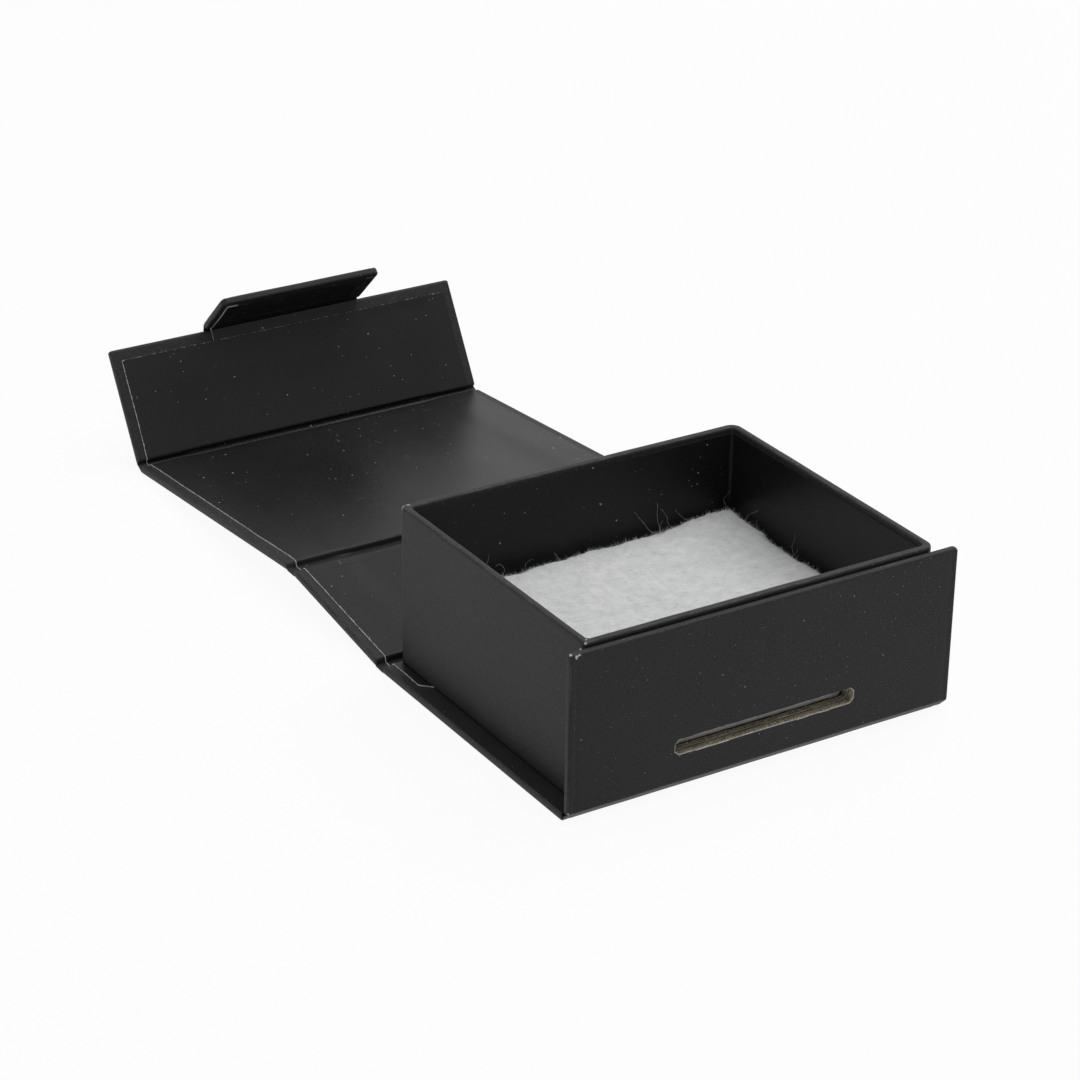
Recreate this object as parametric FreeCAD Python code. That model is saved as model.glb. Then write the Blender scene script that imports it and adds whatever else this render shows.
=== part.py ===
import FreeCAD, Part
import os
from math import asin, cos, degrees, radians, sin, sqrt

# Hinged gift box with a tuck-in tab, open as it lies on a table, in millimetres.
# X runs along the width, +Y from the front panel to the back, +Z up from the table.
# The origin is the centre of the base panel's underside.

vector = FreeCAD.Vector

# Sheet materials
board_thickness = 1.2
paper_thickness = 0.2
tape_thickness = 0.1
glue_thickness = 0.2

# Cover panels
panel_width = 85.0
hinge_gap = 3.2
hinge_relief = 0.15
crease_round = 0.5
free_edge_round = 0.3
side_edge_round = 0.45
corner_round = 0.6
turn_in = 12.0
liner_margin = 2.1
liner_end_margin = 2.4
liner_lap = 0.2

# Tray, set in from the panels' sides and standing a little above the front panel
tray_side_margin = 3.95
front_drop = 0.7
tray_length = 64.9
tray_height = 33.0
tray_corner_round = 2.0
tray_rim_round = 0.6
tray_turn_in = 10.0
tray_turn_under = 9.0
lining_drop = 1.2
stay_reach = 9.0
glue_inset = 6.0
glue_end_inset = 3.0

# Tuck-in tab and its slot
tab_width = 38.8
tab_length = 13.0
tab_hinge_gap = 2.4
tab_corner_round = 1.5
tab_turn_in = 5.0
tab_liner_margin = 1.4
slot_end_clearance = 0.5
slot_height_above_table = 9.45
slot_corner_round = 1.2
slot_clearance = 0.7
tab_rise = 0.65

# Tail of the inner liner, caught under the tray
tail_length = 16.0
tail_corner = 5.8

# Wadding pad
pad_height = 13.7
pad_clearance = 0.3
pad_corner_round = 2.5
pad_top_round = 2.0
pad_bottom_round = 0.6
pocket_clearance = 0.4

# Closed box: room between the cover and the tray's back, the tray's rim and the front panel
back_clearance = 0.2
rim_clearance = 1.2
front_clearance = 1.1

# Angles of the open cover as it lies, in degrees from +Y towards +Z
spine_angle = 8.7
flap_angle = 59.7
tab_angle = 136.0
closed_angle = 90.0

# One overrun serves all cuts
overrun = 1.0

# Levels through a panel: outer paper, board, turned-in paper, liner
board_bottom = paper_thickness
board_top = paper_thickness + board_thickness
panel_thickness = board_top + paper_thickness
lined_thickness = panel_thickness + paper_thickness

# How far a folded hinge strip reaches along each of its two panels
fold_reach = hinge_gap / sqrt(2)
tab_fold_reach = tab_hinge_gap / sqrt(2)

# Heights and places that follow from the tray and the cover that closes round it
tray_width = panel_width - 2 * tray_side_margin
tray_bottom = panel_thickness + glue_thickness
tray_top = tray_bottom + tray_height
front_height = tray_top - front_drop
closed_height = tray_top + rim_clearance + lined_thickness
base_length = (panel_thickness + glue_thickness + tray_length + back_clearance
               + lined_thickness - 2 * fold_reach)
front_face_y = -base_length / 2 - fold_reach
tray_front_y = front_face_y + panel_thickness + glue_thickness
tray_back_y = tray_front_y + tray_length
closed_depth = base_length + 2 * fold_reach + front_clearance + lined_thickness
spine_length = closed_height - 2 * fold_reach
lid_length = closed_depth - 2 * fold_reach
front_length = front_height - fold_reach - paper_thickness
tab_bottom = slot_height_above_table - lined_thickness / 2 + tab_rise
flap_length = closed_height - tab_bottom - fold_reach - tab_fold_reach
slot_width = tab_width + 2 * slot_end_clearance
slot_height = lined_thickness + 2 * slot_clearance


def block(x0, x1, y0, y1, z0, z1):
    return Part.makeBox(x1 - x0, y1 - y0, z1 - z0, vector(x0, y0, z0))


def slab(half_width, start, end, bottom, top, start_round, end_round):
    """A plate across X whose upper start and end edges are rounded."""
    corners = [vector(0, start, bottom), vector(0, end, bottom)]
    edges = [Part.makeLine(corners[0], corners[1])]
    arc_share = 1 - sqrt(0.5)
    last = corners[1]
    if end_round > 0:
        low = vector(0, end, top - end_round)
        mid = vector(0, end - end_round * arc_share, top - end_round * arc_share)
        high = vector(0, end - end_round, top)
        edges.append(Part.makeLine(last, low))
        edges.append(Part.Arc(low, mid, high).toShape())
        last = high
    else:
        high = vector(0, end, top)
        edges.append(Part.makeLine(last, high))
        last = high
    if start_round > 0:
        high = vector(0, start + start_round, top)
        mid = vector(0, start + start_round * arc_share, top - start_round * arc_share)
        low = vector(0, start, top - start_round)
        edges.append(Part.makeLine(last, high))
        edges.append(Part.Arc(high, mid, low).toShape())
        last = low
    else:
        high = vector(0, start, top)
        edges.append(Part.makeLine(last, high))
        last = high
    edges.append(Part.makeLine(last, corners[0]))
    face = Part.Face(Part.Wire(edges))
    plate = face.extrude(vector(2 * half_width, 0, 0))
    plate.translate(vector(-half_width, 0, 0))
    return plate


def edges_where(shape, test):
    return [edge for edge in shape.Edges if test(edge.BoundBox)]


def flat(low, high):
    return high - low < paper_thickness / 2


def near(value, target):
    return abs(value - target) < paper_thickness / 2


def fuse(shapes):
    whole = shapes[0]
    for shape in shapes[1:]:
        whole = whole.fuse(shape)
    return whole.removeSplitter()


def rounded_end(half_width, end, radius):
    """An upright prism over a whole panel whose two corners at the free end are rounded."""
    prism = block(-half_width, half_width, -hinge_gap, end, -overrun, lined_thickness + overrun)
    corners = edges_where(prism, lambda box: flat(box.XMin, box.XMax) and near(box.YMin, end))
    return prism.makeFillet(radius, corners)


def round_long_edges(shape, half_width, bottom, top, radius):
    """Rounds the edges that run along the panel on both sides, above and below."""
    def along(box):
        outside = near(abs(box.XMin), half_width) and flat(box.XMin, box.XMax)
        level = flat(box.ZMin, box.ZMax) and (near(box.ZMin, bottom) or near(box.ZMin, top))
        return outside and level
    return shape.makeFillet(radius, edges_where(shape, along))


class Panel:
    """One stiff panel of the cover, drawn flat: s along Y from its first board edge, n along Z."""

    def __init__(self, width, length, start_round, end_round, end_is_free, corner,
                 start_tongue, end_tongue, end_turn_in):
        self.half = width / 2
        self.length = length
        self.start_round = start_round
        self.end_round = end_round
        self.end_is_free = end_is_free
        self.corner = corner
        self.start_tongue = start_tongue
        self.end_tongue = end_tongue
        self.end_turn_in = end_turn_in

    def board(self):
        half = self.half - paper_thickness
        board = slab(half, 0, self.length, board_bottom, board_top,
                     self.start_round, self.end_round)
        if self.end_is_free:
            board = board.common(rounded_end(half, self.length, self.corner - paper_thickness))
        return board

    def skin_block(self, layers):
        """The plate that holds the board and this many papers over its upper face."""
        grow = layers * paper_thickness
        return slab(self.half, -grow, self.length + grow, 0, board_top + grow,
                    self.start_round + grow, self.end_round + grow)

    def envelope(self):
        """The board with its cover paper: ends at the board where a hinge leaves it."""
        body = self.skin_block(1)
        body = round_long_edges(body, self.half, 0, panel_thickness, side_edge_round)
        last = self.length + (paper_thickness if self.end_is_free else 0)
        keep = block(-self.half - overrun, self.half + overrun, 0, last,
                     -overrun, lined_thickness + overrun)
        body = body.common(keep)
        if self.end_is_free:
            body = body.common(rounded_end(self.half, last, self.corner))
        return body

    def wrap(self, open_middle=0.0):
        """Cover paper: outer face, sides, free end and the turned-in edges."""
        body = self.envelope().cut(self.board())
        window_end = self.length - (self.end_turn_in if self.end_is_free else -overrun)
        side = min(turn_in, self.end_turn_in) if self.end_turn_in > 0 else turn_in
        deepest_round = max(self.start_round, self.end_round)
        window = block(-self.half + side, self.half - side, -overrun, window_end,
                       board_top - deepest_round, lined_thickness)
        body = body.cut(window)
        if open_middle > 0:
            door = block(-open_middle, open_middle, self.length - self.end_turn_in,
                         self.length + overrun, board_top - self.end_round, lined_thickness)
            gate = block(-open_middle, open_middle, self.length,
                         self.length + overrun, paper_thickness, lined_thickness)
            body = body.cut(door).cut(gate)
        pieces = [body]
        if self.start_tongue > 0:
            pieces.append(block(-self.half, self.half, -self.start_tongue, 0, 0, paper_thickness))
        if self.end_tongue > 0:
            half = open_middle if open_middle > 0 else self.half
            pieces.append(block(-half, half, self.length, self.length + self.end_tongue,
                                0, paper_thickness))
        return fuse(pieces)

    def liner(self, margin, end_margin, middle=0.0):
        """Inner liner: low over the bare board, one paper higher over the turned-in edges."""
        over = overrun
        side = min(turn_in, self.end_turn_in) if self.end_turn_in > 0 else turn_in
        first = -paper_thickness
        if self.end_is_free:
            low_end = self.length - self.end_turn_in
            high_end = self.length - end_margin
        else:
            low_end = self.length + paper_thickness
            high_end = low_end
        floor = paper_thickness
        low_zone = block(-self.half + side, self.half - side, first, low_end, floor, lined_thickness)
        high_zone = block(-self.half + margin, self.half - margin, first, high_end,
                          floor, lined_thickness)
        inner_zone = block(-self.half + side + liner_lap, self.half - side - liner_lap,
                           first - over, low_end - (liner_lap if self.end_is_free else -over),
                           floor, lined_thickness)
        if middle > 0:
            full_end = self.length + paper_thickness
            low_zone = low_zone.fuse(block(-middle, middle, low_end, full_end, floor, lined_thickness))
            high_zone = high_zone.fuse(block(-middle, middle, high_end - over, full_end,
                                             floor, lined_thickness))
            inner_zone = inner_zone.fuse(block(-middle + liner_lap, middle - liner_lap,
                                               low_end - over, full_end + over,
                                               floor, lined_thickness))
        plain = slab(self.half + over, 0, self.length, 0, board_top, self.start_round, self.end_round)
        once = self.skin_block(1)
        twice = self.skin_block(2)
        covered = once.common(block(-self.half - over, self.half + over, 0,
                                    self.length + (paper_thickness if self.end_is_free else 0),
                                    -over, lined_thickness))
        if middle > 0:
            covered = covered.cut(block(-middle, middle, self.length, self.length + over,
                                        0, lined_thickness))
        low = once.cut(plain).common(low_zone)
        high = twice.cut(covered).common(high_zone).cut(inner_zone)
        pieces = [low, high]
        if self.start_tongue > 0:
            pieces.append(block(-self.half + margin, self.half - margin, -self.start_tongue, 0,
                                paper_thickness, 2 * paper_thickness))
        if self.end_tongue > 0:
            half = middle if middle > 0 else self.half - margin
            pieces.append(block(-half, half, self.length, self.length + self.end_tongue,
                                paper_thickness, 2 * paper_thickness))
        return fuse(pieces)


def pivot_offset(rest_fold, gap):
    """Where the fixed pivot lies beyond a board's edge: along the panel, and in from its face.

    A paper strip folds at both board edges. The pivot is the centre of the one turn that
    takes the next panel from its resting fold to the closed fold.
    """
    middle = radians(rest_fold + closed_angle) / 4
    reach = gap / 2 / cos(radians(closed_angle - rest_fold) / 4)
    return reach * cos(middle), reach * sin(middle)


def direction(slope):
    return vector(0, cos(radians(slope)), sin(radians(slope)))


def inward(slope):
    return vector(0, -sin(radians(slope)), cos(radians(slope)))


def lid_angle_on_table(spine_end):
    """The lid's slope when its far edge touches the table, found by repeated substitution."""
    slope = 0.0
    for step in range(40):
        start = spine_end + direction((spine_angle + slope) / 2) * hinge_gap
        along, depth = pivot_offset(flap_angle - slope, hinge_gap)
        slope = -degrees(asin(start.z / (lid_length + along - hinge_relief)))
    return slope


# Places of the panels' first outer board edges as the cover lies open
base_end = vector(0, base_length / 2, 0)
spine_start = base_end + direction(spine_angle / 2) * hinge_gap
spine_end = spine_start + direction(spine_angle) * spine_length
lid_angle = lid_angle_on_table(spine_end)
lid_start = spine_end + direction((spine_angle + lid_angle) / 2) * hinge_gap
lid_end = lid_start + direction(lid_angle) * lid_length
flap_start = lid_end + direction((lid_angle + flap_angle) / 2) * hinge_gap
flap_end = flap_start + direction(flap_angle) * flap_length
tab_start = flap_end + direction((flap_angle + tab_angle) / 2) * tab_hinge_gap

# Each hinge: the panel before it, where that panel ends, the fold at rest and the strip's width
folds = {
    "spine_hinge": (0.0, base_end, spine_angle, hinge_gap),
    "lid_hinge": (spine_angle, spine_end, lid_angle - spine_angle, hinge_gap),
    "flap_hinge": (lid_angle, lid_end, flap_angle - lid_angle, hinge_gap),
    "tab_hinge": (flap_angle, flap_end, tab_angle - flap_angle, tab_hinge_gap),
}
tongues = {}
for name, (slope, edge, fold, gap) in folds.items():
    along, depth = pivot_offset(fold, gap)
    tongues[name] = along - hinge_relief
    pivot = edge + direction(slope) * along + inward(slope) * depth
    print(name, "pivot y %.4f z %.4f" % (pivot.y, pivot.z), "fold at rest %.3f" % fold)


def lay(shape, start, slope):
    """Puts a panel drawn flat where its first outer board edge lies, at its slope."""
    placed = shape.copy()
    placed.rotate(vector(0, 0, 0), vector(1, 0, 0), slope)
    placed.translate(start)
    return placed


def slot_cutter(y0, y1, grow=0.0):
    """The slot's outline, a rectangle with rounded corners, pushed through along Y."""
    half = slot_width / 2 + grow
    low = slot_height_above_table - slot_height / 2 - grow
    high = slot_height_above_table + slot_height / 2 + grow
    cutter = block(-half, half, y0, y1, low, high)
    across = edges_where(cutter, lambda box: flat(box.XMin, box.XMax) and flat(box.ZMin, box.ZMax))
    return cutter.makeFillet(slot_corner_round + grow, across)


def rounded_box(half_x, y0, y1, z0, z1, radius):
    body = block(-half_x, half_x, y0, y1, z0, z1)
    upright = edges_where(body, lambda box: flat(box.XMin, box.XMax) and flat(box.YMin, box.YMax))
    return body.makeFillet(radius, upright)


nodes = {}


# Base panel: board, cover paper with the front fold, and the liner's tail
def make_base():
    panel = Panel(panel_width, base_length, free_edge_round, crease_round, False, 0.0,
                  0.0, tongues["spine_hinge"], 0.0)
    start = vector(0, -base_length / 2, 0)
    paper = paper_thickness
    front_fold = Part.makePolygon([
        vector(0, 0, 0),
        vector(0, -fold_reach, fold_reach),
        vector(0, paper - fold_reach, fold_reach),
        vector(0, 0, paper),
        vector(0, 0, 0),
    ])
    strip = Part.Face(front_fold).extrude(vector(panel_width, 0, 0))
    strip.translate(vector(-panel_width / 2, 0, 0))
    nodes["base_board"] = lay(panel.board(), start, 0)
    nodes["base_wrap"] = lay(fuse([panel.wrap(), strip]), start, 0)
    tail_start = base_length - tail_length
    half = panel_width / 2 - liner_margin
    outline = Part.makePolygon([
        vector(-half, base_length + hinge_gap, 0),
        vector(-half, tail_start + tail_corner, 0),
        vector(tail_corner - half, tail_start, 0),
        vector(half - tail_corner, tail_start, 0),
        vector(half, tail_start + tail_corner, 0),
        vector(half, base_length + hinge_gap, 0),
        vector(-half, base_length + hinge_gap, 0),
    ])
    tail = Part.Face(outline).extrude(vector(0, 0, lined_thickness + overrun))
    nodes["base_liner"] = lay(panel.liner(liner_margin, 0.0).common(tail), start, 0)


# Front panel: glued upright against the tray, with the slot cut through it
def make_front():
    panel = Panel(panel_width, front_length, free_edge_round, free_edge_round, True, corner_round,
                  0.0, 0.0, turn_in)
    cutter = slot_cutter(front_face_y - overrun, front_face_y + panel_thickness + overrun)
    for name, shape in (("front_board", panel.board()), ("front_wrap", panel.wrap())):
        placed = shape.copy()
        placed.rotate(vector(0, 0, 0), vector(0, 0, 1), 180)
        placed.rotate(vector(0, 0, 0), vector(1, 0, 0), -90)
        placed.translate(vector(0, front_face_y, fold_reach))
        nodes[name] = placed.cut(cutter)


# Spine, lid, flap and tab, each a board with its cover paper and liner
def make_cover():
    spine = Panel(panel_width, spine_length, crease_round, crease_round, False, 0.0,
                  tongues["spine_hinge"], tongues["lid_hinge"], 0.0)
    lid = Panel(panel_width, lid_length, crease_round, crease_round, False, 0.0,
                tongues["lid_hinge"], tongues["flap_hinge"], 0.0)
    flap = Panel(panel_width, flap_length, crease_round, crease_round, True, corner_round,
                 tongues["flap_hinge"], tongues["tab_hinge"], turn_in)
    tab = Panel(tab_width, tab_length, crease_round, free_edge_round, True, tab_corner_round,
                tongues["tab_hinge"], 0.0, tab_turn_in)
    tab_liner_half = tab_width / 2 - tab_liner_margin
    for name, panel, start, slope in (
        ("spine", spine, spine_start, spine_angle),
        ("lid", lid, lid_start, lid_angle),
    ):
        nodes[name + "_board"] = lay(panel.board(), start, slope)
        nodes[name + "_wrap"] = lay(panel.wrap(), start, slope)
        nodes[name + "_liner"] = lay(panel.liner(liner_margin, 0.0), start, slope)
    nodes["flap_board"] = lay(flap.board(), flap_start, flap_angle)
    nodes["flap_wrap"] = lay(flap.wrap(tab_width / 2), flap_start, flap_angle)
    nodes["flap_liner"] = lay(flap.liner(liner_margin, liner_end_margin, tab_liner_half),
                              flap_start, flap_angle)
    nodes["tab_board"] = lay(tab.board(), tab_start, tab_angle)
    nodes["tab_wrap"] = lay(tab.wrap(), tab_start, tab_angle)
    nodes["tab_liner"] = lay(tab.liner(tab_liner_margin, tab_liner_margin), tab_start, tab_angle)


# Tray: four wall boards on a floor board, corner stays, outer paper and lining
def make_tray():
    paper = paper_thickness
    half = tray_width / 2
    y0 = tray_front_y
    y1 = tray_back_y
    wall = paper + board_thickness
    board_z0 = tray_bottom + paper
    board_z1 = tray_top - paper
    floor_top = board_z0 + board_thickness
    inner_half = half - wall
    cutter = slot_cutter(y0 - overrun, y0 + wall + 2 * paper + overrun)

    shell = rounded_box(half - paper, y0 + paper, y1 - paper, board_z0, board_z1,
                        tray_corner_round - paper)
    cavity = block(-inner_half, inner_half, y0 + wall, y1 - wall, board_z0 - overrun,
                   board_z1 + overrun)
    ring = shell.cut(cavity)
    under_tape = rounded_box(half - paper - tape_thickness, y0 + paper + tape_thickness,
                             y1 - paper - tape_thickness, board_z0, board_z1,
                             tray_corner_round - paper - tape_thickness)
    band = shell.cut(under_tape)
    stays = []
    for x_side in (-1, 1):
        for y_edge, y_side in ((y0, -1), (y1, 1)):
            x_out = x_side * half
            x_in = x_out - x_side * stay_reach
            y_in = y_edge - y_side * stay_reach
            zone = block(min(x_out, x_in), max(x_out, x_in), min(y_edge, y_in), max(y_edge, y_in),
                         board_z0, board_z1)
            stays.append(band.common(zone))
    nodes["corner_stays"] = Part.makeCompound(stays)
    for stay in stays:
        ring = ring.cut(stay)
    zones = {
        "tray_left_board": block(-half, -inner_half, y0, y1, board_z0, board_z1),
        "tray_right_board": block(inner_half, half, y0, y1, board_z0, board_z1),
        "tray_front_board": block(-inner_half, inner_half, y0, y0 + wall, board_z0, board_z1),
        "tray_back_board": block(-inner_half, inner_half, y1 - wall, y1, board_z0, board_z1),
    }
    for name, zone in zones.items():
        nodes[name] = ring.common(zone).cut(cutter)
    nodes["tray_floor_board"] = block(-inner_half, inner_half, y0 + wall, y1 - wall,
                                      board_z0, floor_top)

    outer = rounded_box(half, y0, y1, tray_bottom, tray_top, tray_corner_round)
    rim = edges_where(outer, lambda box: flat(box.ZMin, box.ZMax) and near(box.ZMin, tray_top))
    outer = outer.makeFillet(tray_rim_round, rim)
    filled = rounded_box(half - paper, y0 + paper, y1 - paper, board_z0, board_z1,
                         tray_corner_round - paper)
    lip = wall + paper
    mouth = block(-half + lip, half - lip, y0 + lip, y1 - lip, tray_bottom - overrun,
                  tray_top + overrun)
    below = block(-half + tray_turn_under, half - tray_turn_under, y0 + tray_turn_under,
                  y1 - tray_turn_under, tray_bottom - overrun, board_z0)
    turned_in_end = tray_top - tray_turn_in
    inner_side = block(-inner_half, inner_half, y0 + wall, y1 - wall, floor_top, turned_in_end)
    inside = block(-inner_half, inner_half, y0 + wall, y1 - wall, turned_in_end, board_z1)
    skin = outer.cut(filled.cut(inside)).cut(inner_side)
    skin = skin.cut(mouth.common(block(-half, half, y0, y1, board_z0, tray_top + overrun)))
    skin = skin.cut(below)
    nodes["tray_wrap"] = skin.cut(cutter)

    low_outer = block(-inner_half, inner_half, y0 + wall, y1 - wall, floor_top, turned_in_end)
    low_inner = block(-half + lip, half - lip, y0 + lip, y1 - lip, floor_top + paper,
                      tray_top + overrun)
    lined = lip + paper
    high_outer = block(-half + lip, half - lip, y0 + lip, y1 - lip, turned_in_end - liner_lap,
                       tray_top - lining_drop)
    high_inner = block(-half + lined, half - lined, y0 + lined, y1 - lined,
                       turned_in_end - liner_lap - overrun, tray_top)
    lining = fuse([low_outer.cut(low_inner), high_outer.cut(high_inner)])
    nodes["tray_lining"] = lining.cut(cutter)


# Glue films that hold the tray to the base panel and to the front panel
def make_glue():
    half = tray_width / 2
    edge = panel_width / 2 - turn_in
    front = tray_front_y
    back = tray_back_y
    film_z0 = panel_thickness
    tail_front = base_length / 2 - tail_length
    sheet = block(-half + glue_inset, half - glue_inset, front + glue_inset,
                  tail_front - glue_end_inset, film_z0, tray_bottom)
    low = block(-edge, edge, front + glue_inset, tail_front - glue_end_inset, board_top, film_z0)
    high = block(-half + tray_turn_under, half - tray_turn_under, front + tray_turn_under,
                 tail_front - glue_end_inset, tray_bottom, tray_bottom + paper_thickness)
    nodes["base_glue"] = fuse([sheet, low, high])
    top = front_height - glue_inset
    film = block(-half + glue_inset, half - glue_inset, front_face_y + panel_thickness, front,
                 tray_bottom + glue_end_inset, top)
    film = film.cut(slot_cutter(front_face_y, front + overrun, glue_thickness))
    window = block(-edge, edge, front_face_y + board_top, front_face_y + panel_thickness,
                   tray_bottom + glue_end_inset, front_height - paper_thickness - turn_in)
    window = window.cut(slot_cutter(front_face_y, front + overrun, glue_thickness))
    nodes["front_glue"] = fuse([film, window])


# Wadding pad, loose on the tray's floor, with the hollow that the closed tab presses into it
def make_pad():
    paper = paper_thickness
    wall = board_thickness + 3 * paper + pad_clearance
    half = tray_width / 2 - wall
    y0 = tray_front_y + wall
    y1 = tray_back_y - wall
    z0 = tray_bottom + board_thickness + 2 * paper + pad_clearance
    z1 = z0 + pad_height
    pad = rounded_box(half, y0, y1, z0, z1, pad_corner_round)
    top = edges_where(pad, lambda box: flat(box.ZMin, box.ZMax) and near(box.ZMin, z1))
    pad = pad.makeFillet(pad_top_round, top)
    bottom = edges_where(pad, lambda box: flat(box.ZMin, box.ZMax) and near(box.ZMin, z0))
    pad = pad.makeFillet(pad_bottom_round, bottom)
    tab_tip = (front_face_y - front_clearance - lined_thickness + tab_fold_reach + tab_length
               + paper)
    pocket = block(-tab_width / 2 - pocket_clearance, tab_width / 2 + pocket_clearance,
                   y0 - overrun, tab_tip + pocket_clearance,
                   tab_bottom - pocket_clearance, tab_bottom + lined_thickness + pocket_clearance)
    nodes["wadding_pad"] = pad.cut(pocket)


make_base()
make_front()
make_cover()
make_tray()
make_glue()
make_pad()

os.makedirs("parts", exist_ok=True)
for name, shape in nodes.items():
    box = shape.BoundBox
    print("%-18s solids %d valid %s volume %.1f  x %.2f %.2f  y %.2f %.2f  z %.2f %.2f" % (
        name, len(shape.Solids), shape.isValid(), shape.Volume,
        box.XMin, box.XMax, box.YMin, box.YMax, box.ZMin, box.ZMax))
    shape.exportStep("parts/" + name + ".step")
print("base_length %.3f spine %.3f lid %.3f flap %.3f front %.3f closed height %.3f lid slope %.3f" % (
    base_length, spine_length, lid_length, flap_length, front_length, closed_height, lid_angle))
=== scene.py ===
import math
import bmesh
import bpy
import numpy as np
from mathutils import Matrix


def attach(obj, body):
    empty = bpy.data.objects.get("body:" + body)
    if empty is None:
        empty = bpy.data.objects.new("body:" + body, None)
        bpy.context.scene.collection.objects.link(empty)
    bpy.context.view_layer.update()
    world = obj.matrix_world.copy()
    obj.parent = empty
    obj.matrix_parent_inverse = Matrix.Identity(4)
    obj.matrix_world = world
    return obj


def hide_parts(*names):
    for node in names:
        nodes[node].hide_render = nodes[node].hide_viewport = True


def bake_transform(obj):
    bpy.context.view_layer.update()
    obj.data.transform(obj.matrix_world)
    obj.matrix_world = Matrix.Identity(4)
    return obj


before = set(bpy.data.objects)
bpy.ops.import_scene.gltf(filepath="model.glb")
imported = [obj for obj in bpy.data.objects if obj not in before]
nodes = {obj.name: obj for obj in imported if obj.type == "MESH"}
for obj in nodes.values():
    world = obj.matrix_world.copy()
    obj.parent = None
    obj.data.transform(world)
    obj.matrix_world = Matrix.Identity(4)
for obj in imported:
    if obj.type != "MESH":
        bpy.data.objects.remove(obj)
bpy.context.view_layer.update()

# Lengths are in millimetres until a mesh is made, angles in degrees.
toMetres = 0.001
meshSet = {"weld": 2e-7, "leastEdge": 1e-8, "sharp": 40.0, "sameStation": 1e-6, "samePoint": 1e-5}

# The photograph's camera, from the box's front left and above.
cameraSet = {
    "azimuth": 32.239, "elevation": 25.906, "roll": 0.839, "distance": 643.036,
    "aim": (0.0, 16.65, 17.0), "across": 14.276, "up": -6.942,
    "lens": 111.1768, "sensor": 36.0, "clipStart": 0.01, "clipEnd": 20.0,
}

# Paper and board, shared by all the cover's pieces. A valley is pressed in along each side of the outer
# face; the wave is the glued paper's slow unevenness, which fades out at the sides.
sheetSet = {
    "board": 1.2, "paper": 0.2, "halfWidth": 42.5, "sideRound": 0.45, "roundShare": 0.49,
    "creaseRound": 0.5, "freeRound": 0.3, "cornerRound": 0.6, "turnIn": 12.0,
    "valleyIn": 1.35, "valleyWide": 0.4, "valleyDeep": 0.055,
    "wave": 0.035, "waveLength": 17.0, "waveFade": (0.3, 3.0),
    # the edges' lighter tone, wear and a painted highlight: its level, spread and length
    "wearAndHighlightLevel": 0.75, "wearAndHighlightSpread": 0.35, "wearAndHighlightLength": 9.0,
    "seam": 2.5, "footSeam": 1.2, "step": 0.9, "frontStep": 1.3, "baseStep": 1.7, "acrossStep": 1.3,
    "sideRest": 0.08, "sideGap": 0.3, "sideSteps": (0, 0.12, 0.25, 0.4, 0.6, 0.85, 1.15, 1.5, 1.95),
    "markSteps": (-0.6, -0.4, -0.2, 0.0, 0.2, 0.4, 0.6), "apart": 0.07, "bendRest": 0.3,
}

# The cover's outer face as one line from the front panel's top edge to the tab's tip:
# each panel's first outer board edge (y, z), its slope, its length and the gap after it.
coverSet = {
    "front": ((-34.35, 33.9), -90.0, 31.63726, 3.2),
    "base": ((-32.08726, 0.0), 0.0, 64.17452, 3.2),
    "spine": ((35.27804, 0.24272), 8.7, 33.27452, 3.2),
    "lid": ((71.36758, 5.39211), -4.53581, 67.07452, 3.2),
    "flap": ((141.06834, 1.56937), 59.7, 24.63980, 2.4),
    "tab": ((153.17200, 25.22080), 136.0, 13.0, 0.0),
}
coverFolds = (("base", "spine"), ("spine", "lid"), ("lid", "flap"))
panelBody = {"front": "tray_and_base", "base": "tray_and_base", "spine": "spine_panel", "lid": "lid_panel",
             "flap": "closing_flap", "tab": "tuck_tab"}


def stage(words):
    print("stage:", words)


# The camera stands the distance back from the aim, against the way it looks, and is moved across and up.
def makeCamera():
    c = cameraSet
    az, el, roll = (math.radians(c[k]) for k in ("azimuth", "elevation", "roll"))
    forward = np.array([math.sin(az) * math.cos(el), math.cos(az) * math.cos(el), -math.sin(el)])
    right = np.cross(forward, (0, 0, 1))
    right /= np.linalg.norm(right)
    up = np.cross(right, forward)
    across = math.cos(roll) * right + math.sin(roll) * up
    over = -math.sin(roll) * right + math.cos(roll) * up
    place = np.array(c["aim"]) - c["distance"] * forward - c["across"] * across - c["up"] * over
    data = bpy.data.cameras.new("photoCamera")
    data.lens = c["lens"]
    data.sensor_width = c["sensor"]
    data.sensor_fit = "HORIZONTAL"
    data.clip_start = c["clipStart"]
    data.clip_end = c["clipEnd"]
    camera = bpy.data.objects.new("photoCamera", data)
    bpy.context.scene.collection.objects.link(camera)
    matrix = np.eye(4)
    matrix[:3, 0], matrix[:3, 1], matrix[:3, 2] = across, over, -forward
    matrix[:3, 3] = place * toMetres
    camera.matrix_world = Matrix(matrix.tolist())
    bpy.context.scene.camera = camera


# Links a wire to a shader node's slot, or writes a plain value there.
def plug(tree, slot, value):
    if isinstance(value, Wire):
        tree.links.new(value.socket, slot)
    else:
        slot.default_value = value


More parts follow.
